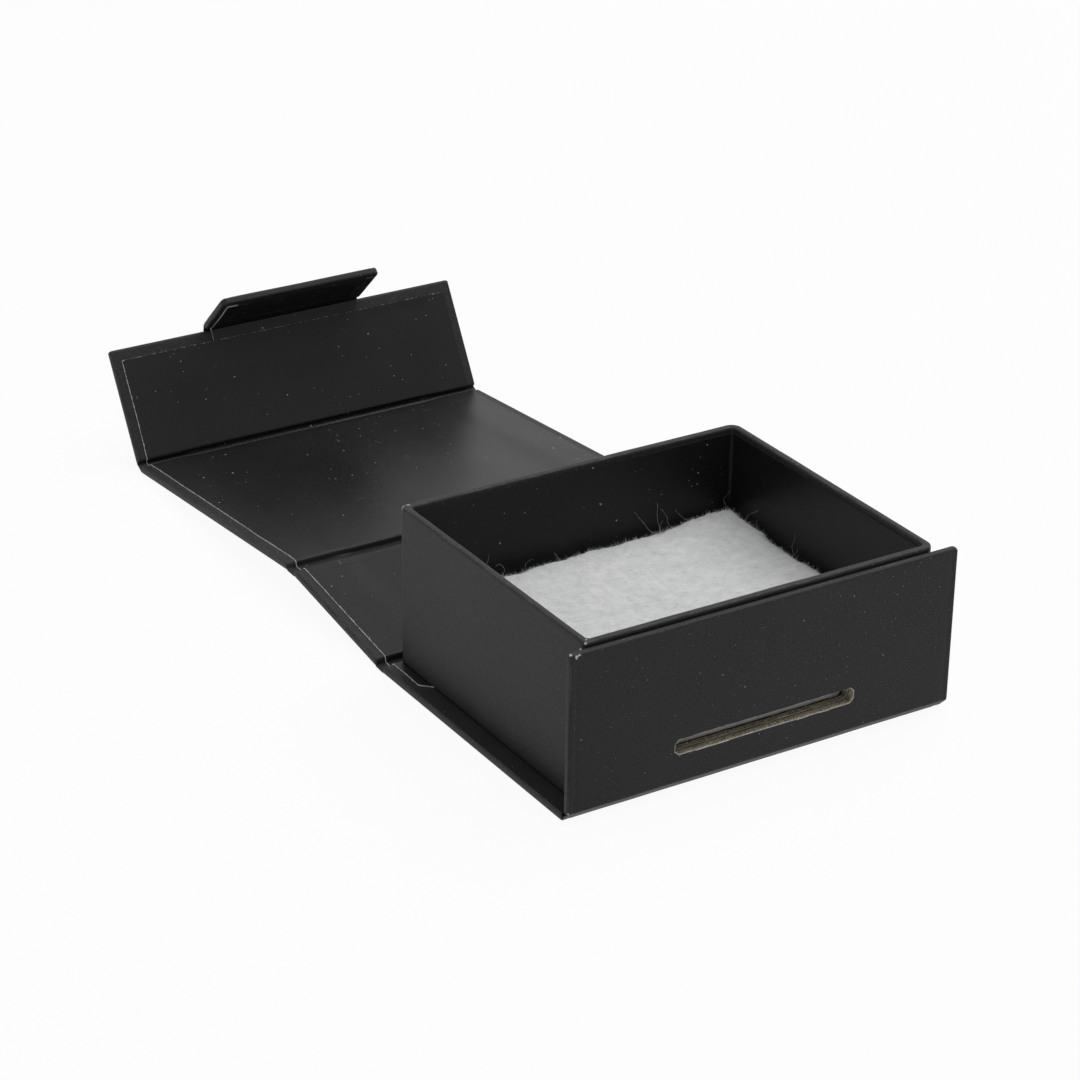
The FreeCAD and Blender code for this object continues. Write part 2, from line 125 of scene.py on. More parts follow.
# A shader socket that Python's operators work on: each one adds a Math node.
class Wire:
    def __init__(self, tree, socket):
        self.tree, self.socket = tree, socket

    def join(self, operation, other, swapped=False, clamp=False):
        made = self.tree.nodes.new("ShaderNodeMath")
        made.operation = operation
        made.use_clamp = clamp
        for slot, value in zip(made.inputs, (other, self) if swapped else (self, other)):
            plug(self.tree, slot, value)
        return Wire(self.tree, made.outputs[0])

    def __add__(self, other):
        return self.join("ADD", other)

    def __radd__(self, other):
        return self.join("ADD", other, True)

    def __sub__(self, other):
        return self.join("SUBTRACT", other)

    def __rsub__(self, other):
        return self.join("SUBTRACT", other, True)

    def __mul__(self, other):
        return self.join("MULTIPLY", other)

    def __rmul__(self, other):
        return self.join("MULTIPLY", other, True)

    def __lt__(self, other):
        return self.join("LESS_THAN", other)

    def __gt__(self, other):
        return self.join("GREATER_THAN", other)

    # its value, kept between 0 and 1
    def held(self):
        return self.join("ADD", 0.0, clamp=True)


# A new shader node: its settings are set first, then its sockets get their values or links.
def addNode(tree, kind, settings=None, values=None, out=0):
    made = tree.nodes.new("ShaderNode" + kind)
    for key, value in (settings or {}).items():
        setattr(made, key, value)
    for key, value in (values or {}).items():
        plug(tree, made.inputs[key], value)
    return Wire(tree, made.outputs[out])


# A new material and its nodes.
class Finish:
    def __init__(self, name, fixed):
        self.material = bpy.data.materials.new(name)
        self.material.use_nodes = True
        self.tree = self.material.node_tree
        self.shader = self.tree.nodes["Principled BSDF"]
        for socket, value in fixed.items():
            self.shader.inputs[socket].default_value = value

    def node(self, kind, settings=None, values=None, out=0):
        return addNode(self.tree, kind, settings, values, out)

    def place(self):
        return self.node("TexCoord", out="Object")

    def noise(self, scale, detail, rough, stretch=None):
        where = self.place()
        if stretch:
            where = self.node("Mapping", values={"Vector": where, "Scale": stretch})
        return self.node("TexNoise", values={"Vector": where, "Scale": scale, "Detail": detail,
                                             "Roughness": rough})

    # A mark on the mesh, its edge broken up by noise about zero.
    def brokenMark(self, name, noise, spread):
        return self.attribute(name) + (self.noise(*noise) - 0.5) * spread

    # Round specks: one in some of the cells, its size by the cell's own chance.
    def specks(self, scale, size, share):
        cell = {"Vector": self.place(), "Scale": scale}
        near = self.node("TexVoronoi", values=cell, out="Distance")
        chance = self.node("SeparateColor", values={0: self.node("TexVoronoi", values=cell, out="Color")})
        radius = (chance - (1.0 - share)) * (size / share)
        return near < radius

    def attribute(self, name):
        return self.node("Attribute", {"attribute_name": name}, out="Fac")

    def blendColour(self, share, first, second):
        one, two = ((*tone, 1.0) if isinstance(tone, tuple) else tone for tone in (first, second))
        return self.node("Mix", {"data_type": "RGBA"}, {0: share, 6: one, 7: two}, out=2)

    def ramp(self, value, low, high):
        return self.node("MapRange", values={"Value": value, "From Min": low, "From Max": high})

    def bump(self, height, distance):
        return self.node("Bump", values={"Height": height, "Distance": distance, "Strength": 1.0})

    def feed(self, **sockets):
        for name, wire in sockets.items():
            self.tree.links.new(wire.socket, self.shader.inputs[name.replace("_", " ")])
        return self.material


# Noises are scale, detail, roughness and, where they are drawn out, the stretch in x, y and z. Ranges
# are the noise's values where a colour begins and where it is full. Specks are scale, size, share of
# the cells and strength.
paperSet = {
    "patches": (38.0, 3.0, 0.5, (1.0, 0.7, 1.0)), "patchRange": (0.35, 0.7), "patchRough": 0.1,
    "fine": (3200.0, 3.0, 0.65), "fineRange": (0.5, 0.78), "fineShare": 0.55, "fineRough": 0.14,
    "pores": (9000.0, 2.0, 0.6), "fineHigh": 0.6, "poresHigh": 0.4,
    "rubAndHighlight": (900.0, 4.0, 0.7), "rubAndHighlightSpread": 0.9, "rubAndHighlightRange": (0.55, 1.15), "rubAndHighlightShare": 0.75,
    "torn": (1500.0, 3.0, 0.7), "tornSpread": 0.8, "tornRange": (0.62, 0.74), "tornTone": (0.55, 0.53, 0.5),
}
coverPaperSet = {
    "tone": (0.0135, 0.0135, 0.0137), "light": (0.018, 0.018, 0.0182), "rough": 0.5, "gloss": 1.28,
    "wornAndHighlightTone": (0.085, 0.083, 0.08), "dust": (0.2, 0.2, 0.195), "grain": 0.00007,
    "specks": ((1500.0, 0.2, 0.18, 0.55), (800.0, 0.14, 0.2, 0.85), (250.0, 0.045, 0.35, 1.0)),
}
linerPaperSet = {
    "tone": (0.0095, 0.0095, 0.0102), "light": (0.0155, 0.0155, 0.0162), "rough": 0.31, "gloss": 1.25,
    "wornAndHighlightTone": (0.03, 0.03, 0.031), "dust": (0.46, 0.46, 0.46), "grain": 0.00004,
    "specks": ((1100.0, 0.15, 0.14, 0.4), (520.0, 0.1, 0.36, 0.85), (250.0, 0.058, 0.5, 1.0)),
}


# Black paper: its two tones blend by broad patches, and the worn tone shows in the fine grain and where
# the wear mark is high; on the rounded edges that lighter tone is wear and a painted highlight. Torn paper
# shows at the chip mark, and dust lies in specks.
def makePaper(name, s):
    f, p = Finish(name, {"IOR": s["gloss"]}), paperSet
    patches, fine, pores = (f.noise(*p[k]) for k in ("patches", "fine", "pores"))
    colour = f.blendColour(f.ramp(patches, *p["patchRange"]), s["tone"], s["light"])
    colour = f.blendColour(f.ramp(fine, *p["fineRange"]) * p["fineShare"], colour, s["wornAndHighlightTone"])
    # the rounded edges' lighter tone: wear and a painted highlight
    rubbedAndHighlit = f.brokenMark("wearAndHighlight", p["rubAndHighlight"], p["rubAndHighlightSpread"])
    colour = f.blendColour(f.ramp(rubbedAndHighlit, *p["rubAndHighlightRange"]) * p["rubAndHighlightShare"], colour, s["wornAndHighlightTone"])
    chipped = f.brokenMark("chip", p["torn"], p["tornSpread"])
    colour = f.blendColour(f.ramp(chipped, *p["tornRange"]), colour, p["tornTone"])
    for scale, size, share, strength in s["specks"]:
        colour = f.blendColour(f.specks(scale, size, share) * strength, colour, s["dust"])
    rough = s["rough"] + (patches - 0.5) * p["patchRough"] + (fine - 0.5) * p["fineRough"]
    height = fine * p["fineHigh"] + pores * p["poresHigh"]
    return f.feed(Base_Color=colour, Roughness=rough, Normal=f.bump(height, s["grain"]))


coreSet = {
    "gloss": 1.3, "soil": (700.0, 4.0, 0.7), "soilRange": (0.34, 0.56), "rough": 0.85, "soilRough": 0.1,
    "torn": (260.0, 4.0, 0.65), "tornSpread": 1.0, "bareRange": (0.34, 0.62),
    "soiled": (0.5, 0.49, 0.46), "white": (0.93, 0.92, 0.89), "black": (0.02, 0.02, 0.02),
}


# The paper's cut edge: its white core shows where the bare attribute is high, in worn bits.
def makeCorePaper():
    c = coreSet
    f = Finish("paperCore", {"IOR": c["gloss"]})
    soil = f.noise(*c["soil"])
    bare = f.brokenMark("bare", c["torn"], c["tornSpread"])
    white = f.blendColour(f.ramp(soil, *c["soilRange"]), c["soiled"], c["white"])
    colour = f.blendColour(f.ramp(bare, *c["bareRange"]), c["black"], white)
    return f.feed(Base_Color=colour, Roughness=c["rough"] + soil * c["soilRough"])


greyboardSet = {
    "gloss": 1.4, "fibres": (2300.0, 5.0, 0.8, (1.3, 0.8, 1.0)), "fibreRange": (0.38, 0.62),
    "dark": (0.1, 0.082, 0.052), "pale": (0.86, 0.76, 0.56), "blots": (1100.0, 4.0, 0.7),
    "blotRange": (0.52, 0.66), "blotShare": 0.7, "blotTone": (0.09, 0.075, 0.05),
    "specks": (1700.0, 0.3, 0.2), "speckTone": (0.95, 0.92, 0.83), "rough": 0.86, "fibreRough": 0.12,
    "fibreHigh": 0.7, "blotHigh": 0.3, "grain": 0.0004,
}


# Pressed fibres, dark blots and pale specks in grey-brown solid board.
def makeGreyboard():
    g = greyboardSet
    f = Finish("greyboard", {"IOR": g["gloss"]})
    fibres, blots = f.noise(*g["fibres"]), f.noise(*g["blots"])
    colour = f.blendColour(f.ramp(fibres, *g["fibreRange"]), g["dark"], g["pale"])
    colour = f.blendColour(f.ramp(blots, *g["blotRange"]) * g["blotShare"], colour, g["blotTone"])
    colour = f.blendColour(f.specks(*g["specks"]), colour, g["speckTone"])
    height = fibres * g["fibreHigh"] + blots * g["blotHigh"]
    return f.feed(Base_Color=colour, Roughness=g["rough"] + fibres * g["fibreRough"],
                  Normal=f.bump(height, g["grain"]))


waddingSet = {
    "fixed": {"IOR": 1.35, "Sheen Weight": 0.25, "Sheen Roughness": 0.6},
    "tufts": (420.0, 5.0, 0.65), "strands": (1500.0, 4.0, 0.7, (0.4, 1.5, 1.0)), "clouds": (110.0, 4.0, 0.6),
    "shares": (0.45, 0.3, 0.25), "range": (0.38, 0.6), "dark": (0.74, 0.752, 0.757),
    "pale": (0.93, 0.935, 0.93), "flecks": (1250.0, 3.0, 0.6, (0.55, 1.6, 1.0)), "fleckRange": (0.6, 0.72),
    "fleckShare": 0.45, "fleckTone": (0.4, 0.405, 0.41), "dust": (2300.0, 5.0, 0.8),
    "dustRange": (0.4, 0.62), "dustDark": (0.02, 0.017, 0.012), "dustPale": (0.16, 0.135, 0.09),
    "soilRange": (0.3, 0.7), "rough": 0.93, "strandRough": 0.06, "high": 0.5, "grain": 0.0007,
}


# White felted fibres; the hollow that the tab pressed in is full of board dust.
def makeWadding():
    w = waddingSet
    f = Finish("wadding", w["fixed"])
    tufts, strands, clouds = (f.noise(*w[k]) for k in ("tufts", "strands", "clouds"))
    ofTufts, ofStrands, ofClouds = w["shares"]
    mixed = f.ramp(tufts * ofTufts + strands * ofStrands + clouds * ofClouds, *w["range"])
    colour = f.blendColour(mixed, w["dark"], w["pale"])
    flecks = f.ramp(f.noise(*w["flecks"]), *w["fleckRange"]) * w["fleckShare"]
    colour = f.blendColour(flecks, colour, w["fleckTone"])
    dust = f.blendColour(f.ramp(f.noise(*w["dust"]), *w["dustRange"]), w["dustDark"], w["dustPale"])
    colour = f.blendColour(f.ramp(f.attribute("soil"), *w["soilRange"]), colour, dust)
    return f.feed(Base_Color=colour, Roughness=w["rough"] + strands * w["strandRough"],
                  Normal=f.bump(tufts * w["high"] + strands * w["high"], w["grain"]))


# Each plain finish's dark and pale tone, scale of its mottle, roughness and grain.
plainSet = {
    "stayTape": ((0.3, 0.19, 0.09), (0.45, 0.31, 0.17), 300.0, 0.62, 0.00004),
    "driedGlue": ((0.55, 0.5, 0.38), (0.72, 0.68, 0.56), 240.0, 0.35, 0.0001),
    "lint": ((0.3, 0.3, 0.3), (0.5, 0.49, 0.47), 500.0, 0.8, 0.00002),
}
mottleSet = {"gloss": 1.45, "detail": 4.0, "noiseRough": 0.6, "range": (0.35, 0.65), "roughShare": 0.1}


# A mottle between a dark and a pale tone.
def makePlain(name):
    m = mottleSet
    dark, pale, scale, rough, grain = plainSet[name]
    f = Finish(name, {"IOR": m["gloss"]})
    mottle = f.noise(scale, m["detail"], m["noiseRough"])
    colour = f.blendColour(f.ramp(mottle, *m["range"]), dark, pale)
    return f.feed(Base_Color=colour, Roughness=rough + mottle * m["roughShare"], Normal=f.bump(mottle, grain))


finishes = {
    "cover": makePaper("coverPaper", coverPaperSet), "liner": makePaper("linerPaper", linerPaperSet),
    "core": makeCorePaper(), "board": makeGreyboard(), "wadding": makeWadding(),
    "tape": makePlain("stayTape"), "glue": makePlain("driedGlue"), "lint": makePlain("lint"),
}
stage("finishes are ready")


# 0 up to low, 1 from high on, and between them 3 t squared less 2 t cubed, t being the share of the way.
def softStep(value, low, high):
    t = np.clip((value - low) / (high - low), 0.0, 1.0)
    return t * t * (3.0 - 2.0 * t)


rippleSet = {"sines": 7, "rates": (0.6, 1.6), "gain": 1.8}


# Smooth seeded waves: the mean of seven sines, each along its own direction with its own phase.
def ripple(x, y, z, seed, length):
    r = rippleSet
    chance = np.random.default_rng(seed)
    total = 0.0
    for k in range(r["sines"]):
        way = chance.normal(size=3)
        way *= 2.0 * math.pi * chance.uniform(*r["rates"]) / (length * np.linalg.norm(way))
        total = total + np.sin(x * way[0] + y * way[1] + z * way[2] + chance.uniform(0, 2 * math.pi))
    return total / r["sines"] * r["gain"]


# Ripples added up; each row gives the height, the share of z that it follows, the seed and the length.
def ripples(x, y, z, rows):
    return sum(high * ripple(x, y, z * tall, seed, length) for high, tall, seed, length in rows)


# Quads of a grid of points stored row by row; a closed grid joins its last column to its first.
def gridQuads(rows, columns, closed):
    i = np.arange(rows - 1)[:, None]
    j = np.arange(columns if closed else columns - 1)[None, :]
    k = (j + 1) % columns
    quads = np.stack([i * columns + j, i * columns + k, (i + 1) * columns + k, (i + 1) * columns + j], -1)
    return quads.reshape(-1, 4)


# Puts points in millimetres and quads into a new mesh object at the origin.
def makePiece(name, points, quads, material, rim=None, marks=None, weld=False):
    used = np.unique(quads)
    lookup = np.zeros(len(points), int)
    lookup[used] = np.arange(len(used))
    mesh = bpy.data.meshes.new(name)
    mesh.from_pydata((points[used] * toMetres).tolist(), [], lookup[quads].tolist())
    for mark, values in (marks or {}).items():
        mesh.attributes.new(mark, "FLOAT", "POINT").data.foreach_set("value", values[used].astype(np.float32))
    mesh.materials.append(material)
    if rim:
        mesh.materials.append(rim)
    if weld:
        shape = bmesh.new()
        shape.from_mesh(mesh)
        bmesh.ops.remove_doubles(shape, verts=shape.verts, dist=meshSet["weld"])
        bmesh.ops.dissolve_degenerate(shape, edges=shape.edges, dist=meshSet["leastEdge"])
        shape.to_mesh(mesh)
        shape.free()
    mesh.polygons.foreach_set("use_smooth", np.ones(len(mesh.polygons), bool))
    mesh.update()
    piece = bpy.data.objects.new(name, mesh)
    bpy.context.scene.collection.objects.link(piece)
    return piece


# A sheet of paper from its outer face, with its slot, the CAD nodes that it replaces and the body that
# it rides on. It gets its thickness inwards from the face that shows, the cut edges take the core's
# finish, and every sharp fold is a hard one, so that no shade runs over a cut edge.
def makeSkin(name, points, quads, paper, marks, replaced, body, weld=True):
    piece = makePiece(name, points, quads, finishes[paper], finishes["core"], marks, weld)
    made = piece.modifiers.new("thickness", "SOLIDIFY")
    made.thickness = sheetSet["paper"] * toMetres
    made.offset = -1.0
    made.material_offset_rim = 1
    made.use_quality_normals = True
    graph = bpy.context.evaluated_depsgraph_get()
    solid = bpy.data.meshes.new_from_object(piece.evaluated_get(graph))
    piece.modifiers.clear()
    sheet, piece.data = piece.data, solid
    bpy.data.meshes.remove(sheet)
    solid.name = piece.name
    solid.set_sharp_from_angle(angle=math.radians(meshSet["sharp"]))
    if replaced:
        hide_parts(*replaced)
    if body:
        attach(piece, body)
    return piece


lineSet = {"beyond": 10.0, "window": 0.3, "taps": 7, "slopeRest": 0.25}


# The cover's line as knots: way along it, y, z and slope at both ends of each panel's board, and a
# straight stretch beyond both free ends.
def coverLine():
    starts, knots, run = {}, [], 0.0
    for name, (point, slope, length, gap) in coverSet.items():
        starts[name] = run
        for along in (0.0, length):
            knots.append((run + along, *farther(point, slope, along), slope))
        run += length + gap
    ends = [(s + far, *farther((y, z), slope, far), slope) for (s, y, z, slope), far in
            ((knots[0], -lineSet["beyond"]), (knots[-1], lineSet["beyond"]))]
    return starts, np.array([ends[0], *knots, ends[1]]).T


# The point so far on along a slope.
def farther(point, slope, far):
    angle = math.radians(slope)
    return point[0] + far * math.cos(angle), point[1] + far * math.sin(angle)


coverStart, (lineKnots, lineY, lineZ, lineSlope) = coverLine()


# (y, z) of points s along the cover's outer face and n in from it. The face's line is a run of
# straight stretches, averaged over a short window so that it turns softly; the slope goes over from
# panel to panel with a soft step inside each gap.
def coverPlace(s, n):
    y = z = 0.0
    window = np.linspace(-lineSet["window"], lineSet["window"], lineSet["taps"])
    for shift in window:
        y = y + np.interp(s + shift, lineKnots, lineY) / len(window)
        z = z + np.interp(s + shift, lineKnots, lineZ) / len(window)
    stretch = np.clip(np.searchsorted(lineKnots, s) - 1, 0, len(lineKnots) - 2)
    low, high = lineKnots[stretch], lineKnots[stretch + 1]
    share = softStep(s, low + lineSet["slopeRest"], high - lineSet["slopeRest"])
    slope = np.radians(lineSlope[stretch] * (1.0 - share) + lineSlope[stretch + 1] * share)
    return y - n * np.sin(slope), z + n * np.cos(slope)


# How far along the cover a panel's board ends: its start and its length.
def coverEnd(name):
    return coverStart[name] + coverSet[name][2]


# A panel's thickness: the board and a paper on both faces.
def panelTop():
    return sheetSet["board"] + 2 * sheetSet["paper"]


creaseSet = {"reach": 8.0, "samples": 3201, "taps": 61}


# Height of the inner face across a hinge, q measured from the gap's middle. Over a panel it is flat;
# at the board's upper edge it falls in a quarter circle, and in the gap it lies on the outer paper. A
# short running mean softens the foot.
def creaseTop(q, layers, creaseRound, gap):
    s, c = sheetSet, creaseSet
    grow = layers * s["paper"]
    radius = creaseRound + grow
    top = s["paper"] + s["board"] + grow
    fine = np.linspace(-c["reach"], c["reach"], c["samples"])
    inside = np.abs(fine) - gap / 2 + grow
    wall = top - radius + np.sqrt(np.maximum(radius ** 2 - (radius - np.clip(inside, 0, radius)) ** 2, 0))
    height = np.where(inside > 0, wall, s["paper"] + grow)
    mean = np.ones(c["taps"]) / c["taps"]
    return np.interp(q, fine, np.convolve(np.pad(height, c["taps"] // 2, mode="edge"), mean, "valid"))


# Values in rising order, without those closer to the one before than the least distance.
def thinned(values, least):
    values = np.unique(np.round(values, 3))
    return values[np.concatenate([[True], np.diff(values) > least])]


# Slow unevenness of a glued paper face.
def liftOf(x, s, seed):
    y, z = coverPlace(s, np.zeros_like(s))
    return sheetSet["wave"] * ripple(x, y, z, seed, sheetSet["waveLength"])


# A panel's cross-section as coefficients: x and height are linear in half width, corner radius, top
# and bottom. It runs over the upper face from left to right, round the right side, back under it and
# round the left.
def crossLoop(flats):
    rows = []
    arc = np.radians(np.linspace(0, 90, 7))

    def corner(angle, sign, top):
        bend = 1.0 - math.cos(angle)
        rows.append((0.0, 0.0, sign, -(1.0 - math.sin(angle)), top, 1.0 - top, -bend if top else bend,
                     math.sin(2 * angle)))
    for sign, top, across, shares in ((1.0, 1.0, flats, (0.75, 0.5, 0.25)),
                                      (-1.0, 0.0, flats[::-1], (0.25, 0.5, 0.75))):
        for x in across:
            rows.append((1.0, x, np.sign(x), 0.0, top, 1.0 - top, 0.0, 0.0))
        for angle in arc:
            corner(angle, sign, top)
        for share in shares:
            rows.append((0.0, 0.0, sign, 0.0, share, 1.0 - share, 1.0 - 2.0 * share, 0.25))
        for angle in arc[::-1]:
            corner(angle, sign, 1.0 - top)
    keys = ("flat", "x", "sign", "out", "top", "bottom", "round", "edge")
    return dict(zip(keys, np.array(rows).T))


# Points of a panel: for each station along the cover, the cross-section's loop at that thickness.
def tubePoints(stations, loop, halfWidth, lift):
    s = sheetSet
    low, high, inset = (stations[k][:, None] for k in ("low", "high", "inset"))
    width = halfWidth - inset
    radius = np.minimum(s["sideRound"], (high - low) * s["roundShare"])
    x = loop["flat"] * loop["x"] * width / halfWidth
    x = x + (1.0 - loop["flat"]) * loop["sign"] * (width + loop["out"] * radius)
    n = loop["top"] * high + loop["bottom"] * low + loop["round"] * radius
    along = np.broadcast_to(stations["s"][:, None], x.shape)
    n = n + lift(x, along, loop["top"] * loop["flat"], loop["bottom"] * loop["flat"])
    y, z = coverPlace(along, n)
    return x, along, n, np.stack([x, y, z], -1)


# Stations round a panel's free end at where: the faces draw in as quarter circles, each by its radius
# less the height of the circle at that distance from the end, then the end closes.
def freeEnd(where, sign, high, topRound, bottomRound, cornerRound):
    turn = np.sin(np.radians(np.linspace(0, 90, 16)))
    d = max(topRound, bottomRound, cornerRound) * (1.0 - turn)  # distance to the end

    def drawn(radius):
        near = np.clip(radius - d, 0, radius)
        return radius - np.sqrt(np.maximum(radius ** 2 - near ** 2, 0))
    lowEdge, highEdge, inset = drawn(bottomRound), high - drawn(topRound), drawn(cornerRound)
    middle = (lowEdge[-1] + highEdge[-1]) / 2
    closing = np.linspace(0, 1, 5)[1:]
    low = np.concatenate([lowEdge, lowEdge[-1] + (middle - lowEdge[-1]) * closing])
    top = np.concatenate([highEdge, highEdge[-1] + (middle - highEdge[-1]) * closing])
    inset = np.concatenate([inset, inset[-1] + closing * (highEdge[-1] - lowEdge[-1]) / 2])
    s = where - sign * np.concatenate([d, np.zeros(len(closing))])
    made = {"s": s, "low": low, "high": top, "inset": inset}
    if sign < 0:
        made = {k: v[::-1] for k, v in made.items()}
    return made


# Stations of a flat stretch, about a step apart.
def evenStations(start, end, high, step):
    count = max(2, int(round((end - start) / step)) + 1)
    s = np.linspace(start, end, count)
    return {"s": s, "low": np.zeros(count), "high": np.full(count, high), "inset": np.zeros(count)}


# Runs of stations joined, without a repeated station at the joins.
def joined(*parts):
    made = {k: np.concatenate([p[k] for p in parts]) for k in parts[0]}
    moved = [np.abs(np.diff(made[k])) > meshSet["sameStation"] for k in ("s", "high")]
    keep = np.concatenate([[True], moved[0] | moved[1]])
    return {k: v[keep] for k, v in made.items()}


# Places across a panel's faces: even ones, close ones towards the sides, and some round each mark.
def widthSamples(halfWidth, marks, step):
    s = sheetSet
    edge = halfWidth - s["sideRound"] - s["sideRest"]
    near = edge - np.array(s["sideSteps"])
    rows = [np.arange(0, near[-1] - s["sideGap"], step), near]
    rows += [mark + np.array(s["markSteps"]) for mark in marks]
    half = np.round(np.concatenate(rows), 3)
    half = thinned(half[(half >= 0) & (half <= edge)], s["apart"])
    return np.concatenate([-half[:0:-1], half])


# How much a point is rubbed and lit: the rounded side edges, in patches. The lighter tone it gives is wear
# and a painted highlight.
def wearAndHighlightOf(loop, seed, points):
    x, y, z = np.moveaxis(points, -1, 0)
    patch = sheetSet["wearAndHighlightLevel"] + sheetSet["wearAndHighlightSpread"] * ripple(x, y, z, seed, sheetSet["wearAndHighlightLength"])
    return np.broadcast_to(loop["edge"], x.shape) * patch


# White chips: 1 at each spot's middle, falling off with the square of the distance over its size.
def chipsNear(points, spots):
    total = np.zeros(points.shape[:-1])
    for spot, size in spots:
        far = np.linalg.norm(points - np.array(spot), axis=-1)
        total = np.maximum(total, np.exp(-(far / size) ** 2))
    return total


slotSet = {
    "halfWidth": 19.9, "middle": 9.45, "halfHeight": 1.6, "clip": 1.1, "clipShare": 0.8,
    "ragged": 0.06, "raggedLength": 5.0, "seed": 40, "slopeReach": 0.01,
    "around": 2.6, "fine": 0.22, "coarse": 0.7, "first": 0.4, "endIn": 2.0, "endOut": 1.4, "sideReach": 1.6,
    "bare": 0.95, "chip": 1.15, "upperChip": 0.7, "upperFrom": 0.2, "upperIn": 1.5,
}


# Distance outside the slot: a box with its corners clipped, its edges slightly ragged.
def slotOutline(x, z, grow=0.0, seed=slotSet["seed"]):
    c = slotSet
    dx = np.abs(x) - c["halfWidth"] - grow
    dz = np.abs(z - c["middle"]) - c["halfHeight"] - grow
    corner = (dx + dz + c["clip"] * c["clipShare"]) / math.sqrt(2)
    rough = c["ragged"] * ripple(x, z * 0.0, z * 0.0, seed, c["raggedLength"])
    return np.maximum(np.maximum(dx, dz), corner) + rough


# Moves (u, v) to where the outline's distance is zero: four steps, each by distance times slope.
def snapped(outline, u, v):
    near = slotSet["slopeReach"]
    for turn in range(4):
        d = outline(u, v)
        u, v = u - d * (outline(u + near, v) - d) / near, v - d * (outline(u, v + near) - d) / near
    return u, v


# Leaves out the faces whose distance is below zero; also gives the points on the border of the hole.
def cutOut(quads, distance):
    inside = distance < 0
    return quads[~inside], np.intersect1d(quads[inside].ravel(), quads[~inside].ravel())


frontSpots = [((-41.25, -34.35, 33.65), 0.5), ((-42.2, -33.7, 34.0), 0.5), ((-40.6, -34.35, 33.9), 0.35),
              ((42.3, -34.2, 33.9), 0.4), ((-42.4, -34.3, 2.4), 0.4), ((-42.4, -32.3, 0.1), 0.4)]
flapSpots = [((-42.5, 153.4, 23.3), 0.4)]


# A paper skin round a panel: the tube's faces that open_ doesn't leave out, given their thickness.
def makeWrap(name, body, stations, halfWidth, flats, open_, seed, replaced=(), hole=None, spots=()):
    s, c, loop = sheetSet, slotSet, crossLoop(flats)

    def lift(x, along, top, bottom):
        inner = softStep(halfWidth - np.abs(x), *s["waveFade"])
        far = (halfWidth - np.abs(x) - s["valleyIn"]) / s["valleyWide"]
        valley = bottom * s["valleyDeep"] * np.exp(-far ** 2)
        return valley + (top * liftOf(x, along, seed) - bottom * liftOf(x, along, seed + 1)) * inner
    x, along, n, points = tubePoints(stations, loop, halfWidth, lift)
    flat = points.reshape(-1, 3)
    faces = [np.broadcast_to(loop[k] * loop["flat"], x.shape).ravel() for k in ("top", "bottom")]

    # each quad's middle across and along, and whether it lies wholly on the upper or the lower face
    def facts(quads):
        middles = [v.ravel()[quads].mean(1) for v in (x, along)]
        return (*middles, *(face[quads].min(1) > 0.5 for face in faces))
    quads = gridQuads(*x.shape, True)
    quads = quads[~open_(*facts(quads)[:3])]
    if hole:
        faceX, faceS, onTop, onBottom = facts(quads)
        quads, border = cutOut(quads, np.where(onBottom, hole(faceX, faceS), 1.0))
        u, v = snapped(hole, x.ravel()[border], along.ravel()[border])
        y, z = coverPlace(v, n.ravel()[border])
        flat[border] = np.stack([u, y, z], -1)
    chips = chipsNear(flat, spots)
    if hole:
        upper = (z > c["middle"] + c["upperFrom"]) & (np.abs(u) < c["halfWidth"] - c["upperIn"])
        chips[border] = np.where(upper, c["upperChip"], c["chip"])
    marks = {"wearAndHighlight": wearAndHighlightOf(loop, seed + 5, points).ravel(), "chip": chips,
             "bare": np.full(len(flat), c["bare"] if hole else 0.0)}
    return makeSkin(name, flat, quads, "cover", marks, replaced, body)


# The part of the upper face that the turned-in edges leave bare.
def windowOf(start, end, halfOpen):
    def test(faceX, faceS, onTop):
        return onTop & (np.abs(faceX) < halfOpen) & (faceS > start) & (faceS < end)
    return test


foldSet = {"outer": 14, "inner": 32, "rest": 0.2, "edge": 0.1}


# Stations across the hinge after panel first, close together at the board edges.
def foldStations(first, before=sheetSet["seam"], after=sheetSet["seam"], layers=1,
                 creaseRound=sheetSet["creaseRound"]):
    f, half = foldSet, coverSet[first][3] / 2
    q = np.concatenate([np.linspace(-half - before, -half - f["rest"], f["outer"]),
                        np.linspace(-half - f["edge"], half + f["edge"], f["inner"]),
                        np.linspace(half + f["rest"], half + after, f["outer"])])
    return {"s": q + coverEnd(first) + half, "q": q, "low": np.zeros(len(q)),
            "high": creaseTop(q, layers, creaseRound, 2 * half), "inset": np.zeros(len(q))}


# Works out the part of a fold's gap that no board edge enters, between its two bodies, and bakes the
# piece's place into its mesh; nothing bends it.
def bendAt(piece, first, second):
    s = sheetSet
    fold = math.radians(abs(coverSet[second][1] - coverSet[first][1])) / 2
    deep = s["creaseRound"] + 2 * s["paper"]
    rises = coverSet[second][1] > coverSet[first][1]
    skip = s["bendRest"] + (deep * math.sin(fold) if rises else 0.0)
    edges = [coverPlace(np.array([v]), np.array([0.0])) for v in (coverEnd(first), coverStart[second])]
    a, b = (np.array([0.0, y[0], z[0]]) for y, z in edges)
    way = (b - a) / np.linalg.norm(b - a)
    tuple((a + way * skip) * toMetres)
    tuple((b - way * skip) * toMetres)
    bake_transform(piece)


tabSet = {
    "halfWidth": 19.4, "turnIn": 5.0, "cornerRound": 1.5, "linerMargin": 1.4, "foldInset": 0.08,
    "foldGrow": 0.02, "foldSeam": 0.8, "step": 0.5, "acrossStep": 1.0,
    "doorIn": 0.5, "doorDeep": 0.1, "underIn": 0.4,
}
